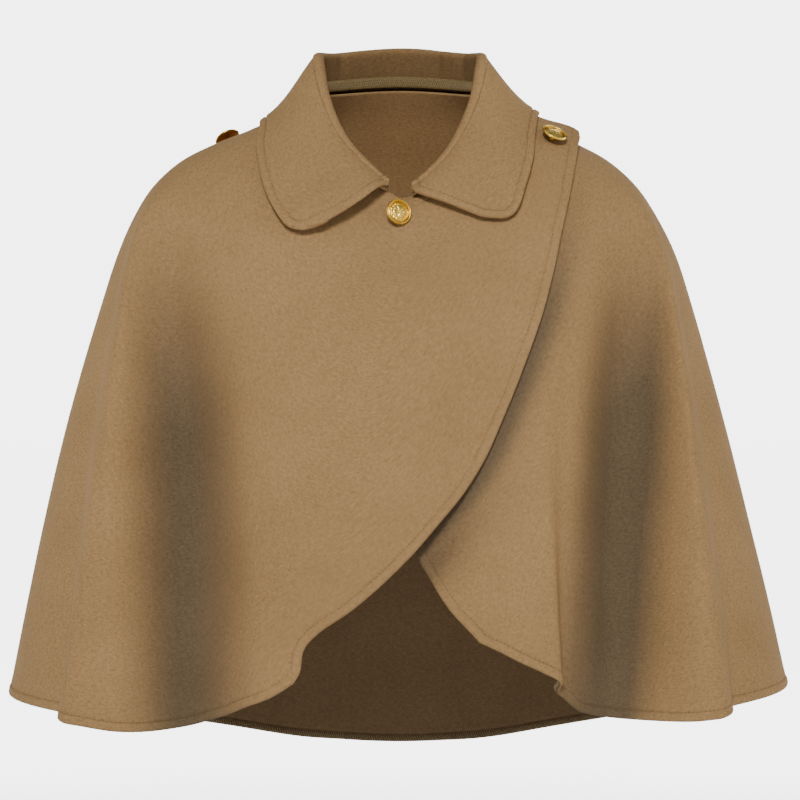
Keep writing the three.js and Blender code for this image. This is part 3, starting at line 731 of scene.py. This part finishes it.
def wool(name, base, sheen):
    """Brushed wool coating: soft cloudy tone, a fine weave under a short nap, and painted shade deep in the
    folds and in other shaded places, read from the shadow and warmth values.
    """
    n = Nodes(name)
    cloth = n.add("ShaderNodeUVMap", uv_map="cloth").outputs["UV"]
    patches = n.noise(n.place, 14, 2, 0.5)
    nap = n.noise(n.place, 330, 3, 0.6)
    fibre = n.noise(n.place, 1500, 2, 0.6)
    warp = n.stretched(cloth, (1000, 360, 1))
    weft = n.stretched(cloth, (230, 900, 1))
    grain = n.math("MULTIPLY_ADD", warp, 0.4, n.math("MULTIPLY", weft, 0.6))
    colour = linear(*base)
    for layer in (
        n.ramp(patches, (0.25, (0.93, 0.93, 0.92)), (0.75, (1.07, 1.07, 1.08))),
        n.ramp(nap, (0.25, (0.86, 0.85, 0.84)), (0.5, PLAIN), (0.75, (1.13, 1.13, 1.13))),
        n.ramp(grain, (0.32, (0.76, 0.75, 0.73)), (0.5, PLAIN), (0.68, (1.2, 1.2, 1.18))),
        # Painted shade: the shadow and warmth values darken the colour.
        n.ramp(n.attribute("shadow"), (0.0, PLAIN), (1.0, NAP_IN_SHADOW)),
        n.ramp(n.attribute("shade_warmth"), (0.0, PLAIN), (1.0, STAND_SHADE_TINT)),
    ):
        colour = n.times(colour, layer)
    soft = n.bump(nap, 0.5, 0.0005)
    fine = n.bump(grain, 0.6, 0.00026, soft)
    return n.finish(Base_Color=colour, Roughness=n.math("MULTIPLY_ADD", nap, 0.12, 0.84),
                    Specular_IOR_Level=0.1, Sheen_Weight=sheen, Sheen_Roughness=0.5,
                    Sheen_Tint=linear(*SHEEN_TINT), Normal=n.bump(fibre, 0.4, 0.00014, fine))


def thread_material(name, colour):
    """Twisted sewing thread, with painted shade between its strands, where its bump is low."""
    n = Nodes(name)
    twist = n.noise(n.place, 2600, 2, 0.6)
    strands = n.ramp(twist, (0.3, linear(*[c * 0.72 for c in colour])), (0.7, linear(*colour)))
    return n.finish(Base_Color=strands, Roughness=0.62, Specular_IOR_Level=0.3,
                    Normal=n.bump(twist, 0.5, 0.0001))


def gold_material():
    """Gold-coloured metal, darker in its relief."""
    n = Nodes("gold_metal")
    cloud = n.noise(n.place, 420, 4, 0.6)
    # Darker low in the relief and on the back, from the deep values, with a random cloud.
    relief_tone = n.math("MULTIPLY_ADD", cloud, 0.35, n.attribute("deep"))
    colour = n.ramp(relief_tone, (0.12, linear(255, 222, 112)), (0.5, linear(246, 196, 74)),
                    (1.0, linear(150, 98, 26)))
    return n.finish(Base_Color=colour, Metallic=1.0, Roughness=n.math("MULTIPLY_ADD", cloud, 0.16, 0.26),
                    Normal=n.bump(cloud, 0.25, 0.0001))


WOOL = wool("wool", (158, 127, 87), 0.07)
# The reverse face, on the inside: its own tone, made a little darker than the outer face as painted shade.
WOOL_REVERSE_SHADED = wool("wool_reverse_shaded", (150, 119, 81), 0.08)
BAND_WOOL = wool("wool_allowance", (118, 100, 66), 0.08)
THREAD = thread_material("thread", (128, 98, 64))
OVERLOCK = thread_material("overlock_thread", (158, 138, 98))
GOLD = gold_material()


def sew_on(obj, slot, *nodes):
    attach(obj, "root")
    if nodes:
        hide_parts(*nodes)


# Panels

wrap_line = edge_line(WRAP_EDGE, 0.1, 1.0, WRAP_TOP_ANGLE)
wrap_end = corner_level(wrap_line, RIGHT_HEM)
wrap_corner = WRAP_CORNER_LEVEL * wrap_end
under_line = edge_line(UNDER_EDGE, 0.0, 1.0, SIDE_SEAM)
under_end = corner_level(under_line, LEFT_HEM)


def wrap_edge_at(level):
    return np.where(level <= wrap_corner + 1e-9, WRAP_TOP_ANGLE, wrap_line(level))


def painted_nap_shade(name, angle, level, offset, middle, free):
    """Painted shade on the outer and on the inner face of a panel: beside the deep troughs, a painted shadow
    under the wrap's edge on the left front, darker lower down inside the back, and darker along the free
    edges on the inner face.
    """
    outside = shadow_at(angle, level)
    if name == "front_left":
        # Painted shadow on the left front, cast by the wrap's edge and deeper where the left front falls back
        # under it.
        gap = past_edge(middle, WRAP_EDGE)
        wrap_shadow = hill(np.maximum(gap - UNDER_FLAT, 0), WRAP_SHADOW_FADE)
        outside = np.maximum(outside, np.minimum(np.abs(offset) / UNDER_FALL * 1.1, 1))
        outside = np.maximum(outside, wrap_shadow * smooth(level, 0.15, 0.4))
    # Painted shade down the inside of the back, darker towards the hem.
    inside = np.maximum(outside, 0.76 * smooth(level, 0.1, 0.5)) if name == "back" else outside
    # Darker within about 7 mm of the free edges on the inner face.
    return outside, np.maximum(inside, 0.95 * (1 - smooth(free, 6.2, 7.4)))


def make_panel(name, angle, level, offset, free_line, seam_lines, origin):
    outer, inner, middle, normal, free = panel_faces(angle, level, offset, free_line, seam_lines)
    points, faces, inward = shell(outer, inner)
    obj = make_object(name + "_cloth", points, faces, [WOOL, WOOL_REVERSE_SHADED], inward, uv_of(middle, origin))
    add_value(obj, "shadow", np.concatenate(painted_nap_shade(name, angle, level, offset, middle, free)))
    sew_on(obj, "wool", name)
    return {"obj": obj, "outer": outer, "inner": inner, "normal": normal, "free": free,
            "edge": free_line(middle)}


angle, level = front_grid(-1, -42, 18, 120, wrap_edge_at, wrap_end, RIGHT_HEM,
                          lambda turn: FLAP_TOP_LEVEL * smooth(turn, -6, 4))
first_free = int(np.argmax(angle[0] > 10))
right_free = lambda m: np.concatenate([m[0, first_free:], m[1:, -1], m[-1, ::-1][1:]])
right_seams = lambda m: [m[:, 0], m[0, :first_free]]
right = make_panel("front_right", angle, level, right_offset(angle, level), right_free, right_seams, -1)

angle, level = front_grid(1, 22, 14, 52, under_line, under_end, LEFT_HEM, lambda turn: turn * 0.0)
left_free = lambda m: np.concatenate([m[:, 0], m[-1, 1:]])
left_seams = lambda m: [m[:, -1], m[0]]
left = make_panel("front_left", angle, level, left_offset(angle, level), left_free, left_seams, 0)

angle, level = back_grid()
back_seams = lambda m: [m[:, 0], m[:, -1], m[0]]
back = make_panel("back", angle, level, angle * 0.0, lambda m: m[-1], back_seams, angle.shape[1] // 2)


# Collar

def top_layer(angle, level):
    return right_offset(angle, level) * (1 - smooth(np.abs(angle), SIDE_SEAM, SIDE_SEAM + OVERLAP_FADE))


def cape_angle(around):
    return np.where(around > 0, 180 - around, -180 - around)


FOOT_UP = 1.6
FOOT_OUT = 0.54 * COLLAR_WALL
STAND_ROWS = 16
ROLL_ROWS = 15
FALL_START = STAND_ROWS + ROLL_ROWS
FALL_ROWS = 34
LEAF_ARCH = 14
LEAF_SAG = 3
LEAF_LIFT = 5
UP = np.array([0, 0, 1.0])

# Dents in the stand at the back of the neck: degrees round, width in degrees and depth.
STAND_DENTS = [(-55, 6, 3.4), (-22, 10, -1.3), (35, 4.5, 3.8), (60, 5, 3.2), (8, 9, 0.9)]


def collar_value(column, around):
    return curve(COLLAR["around"], COLLAR[column], around)


def stand_at(around):
    """Outward way, foot and shoulder of the stand, from the neck seam to where its roll begins."""
    neck = cape_angle(around)
    zero = np.zeros(neck.shape)
    seam = offset_point(neck, zero, np.where(neck < 0, top_layer(neck, zero), 0))
    outward = unit(seam * (1, 1, 0))
    foot = seam + UP * FOOT_UP + outward * FOOT_OUT
    rise = np.maximum(collar_value("stand", around) - ROLL_RADIUS, 1.5)[:, None]
    return outward, foot, foot + UP * rise - outward * rise * STAND_LEAN


def collar_grid(around, falls):
    """Sections of the collar, each up the stand, over the roll and down the fall to the edge."""
    neck = cape_angle(around)
    outward, foot, shoulder = stand_at(around)
    lines = [lerp(foot, shoulder, t) for t in np.linspace(0, 0.96, STAND_ROWS)]
    for turn in np.radians(np.linspace(0, 180, ROLL_ROWS)):
        lines.append(shoulder + (outward * (1 - math.cos(turn)) + UP * math.sin(turn)) * ROLL_RADIUS)
    edge_turn = cape_angle(collar_value("edge_around", around))
    edge_level = collar_value("edge_level", around)
    lift = COLLAR_WALL / 2 + collar_value("lift", around)
    edge = offset_point(edge_turn, edge_level, top_layer(edge_turn, edge_level) + lift)
    start = lines[-1]
    length = np.linalg.norm(edge - start, axis=-1)[:, None]
    steep = np.minimum(length * 0.3, collar_value("stand", around)[:, None] * 0.6)
    first = start - UP * steep + outward * length * 0.22
    part_turn = lerp(neck, edge_turn, 0.62)
    part_level = edge_level * 0.5
    second = offset_point(part_turn, part_level, top_layer(part_turn, part_level) + lift + COLLAR_CLEARANCE)
    for s in rows_between(np.array([]), falls, length[:, 0] * 1.06, FALL_ROWS)[1:, :, None]:
        rest = 1 - s
        lines.append(start * rest**3 + first * 3 * s * rest**2 + second * 3 * s**2 * rest + edge * s**3)
    grid = np.stack(lines)
    rows = len(lines)
    height = np.concatenate([np.linspace(0.15, 1, STAND_ROWS), np.linspace(1, 0.9, ROLL_ROWS),
                             np.linspace(0.85, 0, rows - FALL_START)])[:, None]
    dent = sum(depth * hill(around - centre, width) for centre, width, depth in STAND_DENTS)
    # The free ends of the leaves curve: the wearer's right one arches off the cape, the left one sags.
    fall = np.clip((np.arange(rows) - FALL_START) / (rows - 1 - FALL_START), 0, 1)[:, None]
    ends = np.sin(math.pi * fall) * smooth(np.abs(around), 145, COLLAR_END)
    along = unit(np.gradient(grid, axis=1))
    sag = np.where(around < 0, LEAF_ARCH, LEAF_SAG) * ends
    rise = np.where(around < 0, LEAF_LIFT, 0) * ends
    return grid + outward * (dent * height**1.5 + rise)[..., None] - along * sag[..., None]


def grid_normal(grid):
    return unit(np.cross(np.gradient(grid, axis=0), np.gradient(grid, axis=1)))


COLLAR_STITCH = 6.8
COLLAR_HALF = 1.6
COLLAR_EDGE_HALF = 2.6
COLLAR_THIN_EDGE = 1.7
SHOULDER_TURN = 105
COLLAR_COLUMNS_A_SIDE = 130

share = np.arange(-COLLAR_COLUMNS_A_SIDE, COLLAR_COLUMNS_A_SIDE + 1) / COLLAR_COLUMNS_A_SIDE
around = (COLLAR_END * share * (1.5 - 0.5 * share**2))[::-1]
collar_middle = collar_grid(around, EDGE_STEPS * 0.95)
collar_normal = grid_normal(collar_middle)
collar_edge = np.concatenate([collar_middle[:, 0], collar_middle[-1, 1:], collar_middle[::-1, -1][1:]])
free = edge_distance(collar_middle, collar_edge)
foot_gap = edge_distance(collar_middle, collar_middle[0])
rows = np.arange(collar_middle.shape[0])[:, None]
turned = lerp(COLLAR_THIN_EDGE, COLLAR_EDGE_HALF, smooth(rows, FALL_START, FALL_START + 12))
turned = lerp(COLLAR_THIN_EDGE, turned, smooth(np.abs(np.abs(around) - SHOULDER_TURN), 8, 26))
half = half_thickness(free, foot_gap, COLLAR_HALF, turned, COLLAR_STITCH)
near = hill(free - 6, 7)
lift = 0.3 * near * wander(collar_middle, 24, 11) + 0.35 * wander(collar_middle, 60, 12)
collar_outer, collar_inner = skins(collar_middle, collar_normal, half, lift)
points, faces = shell(collar_outer, collar_inner)[:2]
collar = make_object("collar_cloth", points, faces, [WOOL], None, uv_of(collar_middle, COLLAR_COLUMNS_A_SIDE))
# Painted shade on the inside of the stand at the back of the neck, darker and browner, given in both the
# shadow and warmth values.
stand_shade = 0.95 * (1 - smooth(rows, 13, 25)) * (1 - smooth(np.abs(around), 95, 140))
for name in ("shadow", "shade_warmth"):
    add_value(collar, name, np.concatenate([stand_shade, stand_shade]))
sew_on(collar, "wool", "collar")


# Neck band, turned up inside the back of the stand

BAND_LOW = 1
BAND_TOP = 10.5
BAND_REACH = 87
BAND_HALF = 0.65
BAND_GAP = 1.0
BAND_ROWS = 14
BAND_COLUMNS = 150

outward, foot, shoulder = stand_at(np.linspace(BAND_REACH, -BAND_REACH, BAND_COLUMNS))
rise = np.linspace(BAND_LOW, BAND_TOP, BAND_ROWS)[:, None, None]
band_middle = foot + unit(shoulder - foot) * rise - outward * (COLLAR_WALL / 2 + BAND_GAP + BAND_HALF)
band_normal = grid_normal(band_middle)
across = np.linspace(-1, 1, BAND_ROWS)[:, None, None]
skin = band_normal * BAND_HALF * np.sqrt(np.maximum(1 - np.abs(across) ** 6, 0.02))
points, faces = shell(band_middle + skin, band_middle - skin)[:2]
band = make_object("neck_band_cloth", points, faces, [BAND_WOOL], None, uv_of(band_middle, BAND_COLUMNS // 2))
sew_on(band, "wool_inside", "neck_band")


# Threads

def tubes(paths, radius, sides=5):
    """Many short threads as one mesh: each path is a few points, thinner at both ends."""
    paths = np.asarray(paths)
    count, steps = paths.shape[:2]
    along = unit(np.gradient(paths, axis=1))
    helper = np.where(np.abs(along[..., 2:3]) > 0.9, np.array([1.0, 0, 0]), UP)
    side = unit(np.cross(along, helper))
    other = np.cross(along, side)
    taper = np.sin(np.linspace(0.18, math.pi - 0.18, steps)) ** 0.5
    turn = np.linspace(0, 2 * math.pi, sides, endpoint=False)
    ring = side[:, :, None] * np.cos(turn)[:, None] + other[:, :, None] * np.sin(turn)[:, None]
    points = paths[:, :, None] + ring * (radius * taper)[None, :, None, None]
    index = numbered((count, steps, sides))
    ends = index[:, 0, ::-1].tolist() + index[:, -1].tolist()
    return points.reshape(-1, 3), ring_quads(index).tolist() + ends


def read_along(values, travel, at):
    """Values given at places along a line, read at other places on it."""
    return np.stack([np.interp(at, travel, values[:, k]) for k in range(3)], -1)


def resample(line, step):
    length = run_length(line, 0)
    return read_along(line, length, np.arange(0, length[-1], step))


def surface(points_grid):
    quads = grid_quads(numbered(points_grid.shape[:2]))
    return BVHTree.FromPolygons([Vector(p) for p in points_grid.reshape(-1, 3)], quads.tolist())


def inset_line(edge, face, normal_grid, distance):
    """A line on a panel's face, a steady distance inside its free edge, with the face's normals."""
    tree = surface(face)
    flat, flat_normal = face.reshape(-1, 3), normal_grid.reshape(-1, 3)
    spots = point_tree(flat)
    edge_points = resample(edge, 1.0)
    normal = flat_normal[[spots.find(p)[1] for p in edge_points]]
    way = unit(np.cross(normal, unit(np.gradient(edge_points, axis=0)))) * distance
    miss = lambda line: np.median([(Vector(p) - tree.find_nearest(Vector(p))[0]).length for p in line[::7]])
    probe = edge_points + way
    if miss(edge_points - way) < miss(probe):
        probe = edge_points - way
    feet = np.array([tree.find_nearest(Vector(p))[0] for p in probe])
    feet = feet[edge_distance(feet, edge) > distance * 0.965]
    return feet, flat_normal[[spots.find(p)[1] for p in feet]]


def stitches(line, normals, length, gap, radius, proud, seed):
    """Sewn stitches along a line: each comes up out of the cloth and goes down again."""
    rng = np.random.default_rng(seed)
    travel = run_length(line, 0)
    breaks = np.where(np.diff(travel) > 6)[0]
    arch = np.sin(np.linspace(0, math.pi, 6)) * (proud + radius) - radius
    paths = []
    start = 1.0
    while start + length < travel[-1]:
        size = length * rng.uniform(0.93, 1.07)
        at = start + np.linspace(0, size, 6)
        if not any(travel[b] < at[-1] and travel[b + 1] > at[0] for b in breaks):
            outward = unit(read_along(normals, travel, at))
            paths.append(read_along(line, travel, at) + outward * arch[:, None])
        start += size + gap
    return paths


TOPSTITCH = {"length": 2.7, "gap": 0.75, "radius": 0.27, "proud": 0.12}
BAND_STITCH = {"length": 2.4, "gap": 0.5, "radius": 0.28, "proud": 0.15}
OVERLOCK_RADIUS = 0.4

sewn = []
for piece in (right, left, back):
    for face, sign in (("outer", 1), ("inner", -1)):
        line, normals = inset_line(piece["edge"], piece[face], piece["normal"] * sign, STITCH_EDGE)
        sewn += stitches(line, normals, seed=len(sewn), **TOPSTITCH)
line, normals = inset_line(collar_edge, collar_outer, collar_normal, COLLAR_STITCH)
sewn += stitches(line, normals, seed=77, **TOPSTITCH)
points, faces = tubes(sewn, TOPSTITCH["radius"])
sew_on(make_object("topstitching", points, faces, [THREAD]), "wool")


def slanted(grid, outward, low_row, high_row, pitch, slant, lift):
    """Threads that lean across a band between two rows of a grid."""
    travel = run_length(grid[low_row], 0)
    rows = np.linspace(low_row, high_row, 6)
    r0 = np.clip(np.floor(np.minimum(rows, max(low_row, high_row) - 1e-6)).astype(int), 0, grid.shape[0] - 2)
    g = (rows - r0)[:, None]
    arch = np.sin(np.linspace(0, math.pi, 6)) ** 0.6 * lift - 0.05
    paths = []
    for i in range(int(travel[-1] / pitch) - 3):
        at = (i + 0.5) * pitch + np.linspace(0, slant, 6)
        column = np.interp(at, travel, np.arange(len(travel)))
        c0 = np.clip(column.astype(int), 0, grid.shape[1] - 2)
        f = (column - c0)[:, None]
        low, high = (lerp(grid[r, c0], grid[r, c0 + 1], f) for r in (r0, r0 + 1))
        paths.append(lerp(low, high, g) + outward[r0, c0] * arch[:, None])
    return paths


def row_at(free, distance):
    """The row of a panel's grid that lies a given distance from its hem."""
    rows, columns = free.shape
    return rows // 2 + int(np.argmin(np.abs(free[rows // 2:, columns // 2] - distance)))


serged = []
for piece in (back, right, left):
    low, high = row_at(piece["free"], 0.5), row_at(piece["free"], 6.6)
    serged += slanted(piece["inner"], -piece["normal"], low, high, 2.3, 3.4, 0.3)
band_face = band_middle + band_normal * BAND_HALF
serged += slanted(band_face, band_normal, 1, BAND_ROWS - 2, 1.9, 2.6, 0.25)
for row in (4, 7, 10):
    serged += stitches(band_face[row], band_normal[row], seed=90 + row, **BAND_STITCH)
points, faces = tubes(serged, OVERLOCK_RADIUS)
sew_on(make_object("overlocking", points, faces, [OVERLOCK]), "wool_inside")


# Buttons

BUTTON_RADIUS = 11.25
SHANK_HEIGHT = 5
SHANK_RADIUS = 2.6
FACE_HEIGHT = 1.1

# The button's back, from its rim to the middle of its foot: distance from the axis and height above
# the top of the shank.
BUTTON_BACK = table("out up", [
    (11.25, 2.0), (11.25, 1.5), (10.9, 1.0), (9.6, 0.7), (7.5, 0.45), (4.6, 0.3), (2.9, 0.1),
    (2.3, -0.6), (1.9, -2.2), (2.1, -3.8), (2.5, -4.7), (2.3, -5), (0.4, -5),
])
BUTTONS = [
    ("button_neck", -2.5, 0.057, (0.42, -0.88, 0.22)),
    ("button_left_shoulder", 71, 0.125, (0.36, -0.5, 0.8)),
    ("button_right_shoulder", -99, 0.136, (-0.42, 0.4, 0.82)),
]


def relief(radius, turn):
    """Height of the button's face: a smooth raised rim, a ring of beads and a rosette."""
    share = radius / BUTTON_RADIUS
    dome = 1.5 * (1 - (share / 0.78) ** 2).clip(0)
    rim = 1.9 * np.exp(-(((share - 0.9) / 0.062) ** 4))
    petals = 0.42 * np.abs(np.cos(4 * turn)) ** 0.7 * smooth(share, 0.1, 0.2) * (1 - smooth(share, 0.42, 0.5))
    heart = 0.55 * hill(share, 0.1)
    ring = smooth(share, 0.5, 0.54) * (1 - smooth(share, 0.64, 0.68))
    leaves = 0.36 * (0.5 + 0.5 * np.cos(16 * turn + 9 * share)) * ring
    beads = 0.34 * np.abs(np.cos(22 * turn)) * hill(share - 0.735, 0.035)
    return dome + rim + petals + heart + leaves + beads


def make_button(node, row_angle, row_level, facing):
    row_angle, row_level = np.array(row_angle), np.array(row_level)
    facing = unit(np.array(facing))
    tilt = math.acos(cloth_normal(row_angle, row_level) @ facing)
    layer = right_offset(row_angle, row_level) if row_angle > -SIDE_SEAM else 0.0
    base = offset_point(row_angle, row_level, layer + SEAM_GAP + SHANK_RADIUS * math.sin(tilt))
    side = unit(np.cross(facing, UP))
    up = np.cross(side, facing)
    turns = np.linspace(0, 2 * math.pi, 132, endpoint=False)
    face = np.concatenate([np.linspace(0.25, 8.6, 30), np.linspace(8.85, 11.1, 14)])[:, None]
    front = FACE_HEIGHT + relief(face, turns)
    back = BUTTON_BACK["up"][:, None] + 0 * turns
    out = np.concatenate([face, BUTTON_BACK["out"][:, None]])[..., None]
    height = np.concatenate([front, back])
    ring = side * np.cos(turns)[:, None] + up * np.sin(turns)[:, None]
    points = base + out * ring + facing * (SHANK_HEIGHT + height)[..., None]
    deep = np.where(height > FACE_HEIGHT - 0.05, np.clip(0.62 - (height - FACE_HEIGHT) / 2.2, 0, 1), 0.75)
    index = numbered(height.shape)
    faces = ring_quads(index)[:, ::-1].tolist() + [index[0].tolist(), index[-1][::-1].tolist()]
    obj = make_object(node + "_metal", points.reshape(-1, 3), faces, [GOLD])
    add_value(obj, "deep", deep)
    sew_on(obj, "gold_metal", node)


for row in BUTTONS:
    make_button(*row)


# Floor, light and camera

FLOOR_Z = -0.9
FLOOR_HALF = 40.0
FLOOR_GLOW = 4.6
AIR_LIGHT = 0.16
BACKGROUND_LIGHT = 5.0
LAMP_COLOUR = (1.0, 0.98, 0.95)
LAMP_TARGET = (0, 0, -0.3)

# Each lamp's name, place, width and height, and power in watts.
LAMPS = [
    ("key", (-0.2, -3.0, 1.4), (0.8, 0.8), 84),
    ("left", (-2.6, -1.2, 0.4), (0.7, 1.4), 11),
    ("right", (2.6, -1.2, 0.4), (0.7, 1.4), 15),
    ("back", (0.6, 3.0, 1.8), (1.6, 1.2), 40),
]


def climb(tree, value, start, end, low, high):
    """A value that climbs smoothly from low to high between two places."""
    node = tree.nodes.new("ShaderNodeMapRange")
    node.interpolation_type = "SMOOTHSTEP"
    for name, number in (("From Min", start), ("From Max", end), ("To Min", low), ("To Max", high)):
        node.inputs[name].default_value = number
    tree.links.new(value, node.inputs["Value"])
    return node.outputs["Result"]


def pale_floor():
    """A white floor that glows, more away from the cape and behind it: painted light, as in a studio with a
    lit background.
    """
    corners = [(x * FLOOR_HALF, y * FLOOR_HALF, FLOOR_Z) for x, y in ((-1, -1), (1, -1), (1, 1), (-1, 1))]
    mesh = bpy.data.meshes.new("floor")
    mesh.from_pydata(corners, [], [(0, 1, 2, 3)])
    n = Nodes("pale_paper")
    tone = n.ramp(n.noise(n.place, 3, 2, 0.5), (0, (0.9, 0.9, 0.9)), (1, (0.94, 0.94, 0.94)))
    distance = n.add("ShaderNodeVectorMath", {0: n.place}, operation="LENGTH").outputs["Value"]
    depth = n.add("ShaderNodeSeparateXYZ", {0: n.place}).outputs["Y"]
    glow = n.math("MULTIPLY", climb(n.tree, depth, -0.3, 1.2, 0, 1),
                  climb(n.tree, distance, 0.7, 3.0, 0, FLOOR_GLOW))
    mesh.materials.append(n.finish(Base_Color=tone, Roughness=0.9, Emission_Color=(1, 1, 1, 1),
                                   Emission_Strength=glow))
    obj = put_in_scene("floor", mesh)


def studio_air():
    """Dim soft light all round, and a white background low behind the cape."""
    world = bpy.data.worlds.new("studio")
    bpy.context.scene.world = world
    world.use_nodes = True
    tree = world.node_tree
    split = tree.nodes.new("ShaderNodeSeparateXYZ")
    tree.links.new(tree.nodes.new("ShaderNodeTexCoord").outputs["Generated"], split.inputs[0])
    strength = climb(tree, split.outputs["Y"], 0.9, 0.965, AIR_LIGHT, BACKGROUND_LIGHT)
    background = tree.nodes["Background"]
    tree.links.new(strength, background.inputs["Strength"])
    background.inputs["Color"].default_value = (1, 1, 1, 1)


def lamp(name, place, size, power):
    data = bpy.data.lights.new(name, "AREA")
    data.shape = "RECTANGLE"
    data.size, data.size_y = size
    data.energy = power
    data.color = LAMP_COLOUR
    obj = put_in_scene(name, data)
    obj.location = place
    obj.rotation_euler = (Vector(LAMP_TARGET) - Vector(place)).to_track_quat("-Z", "Y").to_euler()


pale_floor()
studio_air()
for row in LAMPS:
    lamp(*row)

CAMERA_DISTANCE = 2.5
CAMERA_HEIGHT = -0.261
PIXELS_PER_METRE = 1150
PICTURE_WIDTH = 800
SENSOR_WIDTH = 36
camera_data = bpy.data.cameras.new("camera")
camera_data.sensor_width = SENSOR_WIDTH
camera_data.lens = SENSOR_WIDTH * CAMERA_DISTANCE * PIXELS_PER_METRE / PICTURE_WIDTH
camera = put_in_scene("camera", camera_data)
camera.location = (0, -CAMERA_DISTANCE, CAMERA_HEIGHT)
camera.rotation_euler = (math.pi / 2, 0, 0)
bpy.context.scene.camera = camera
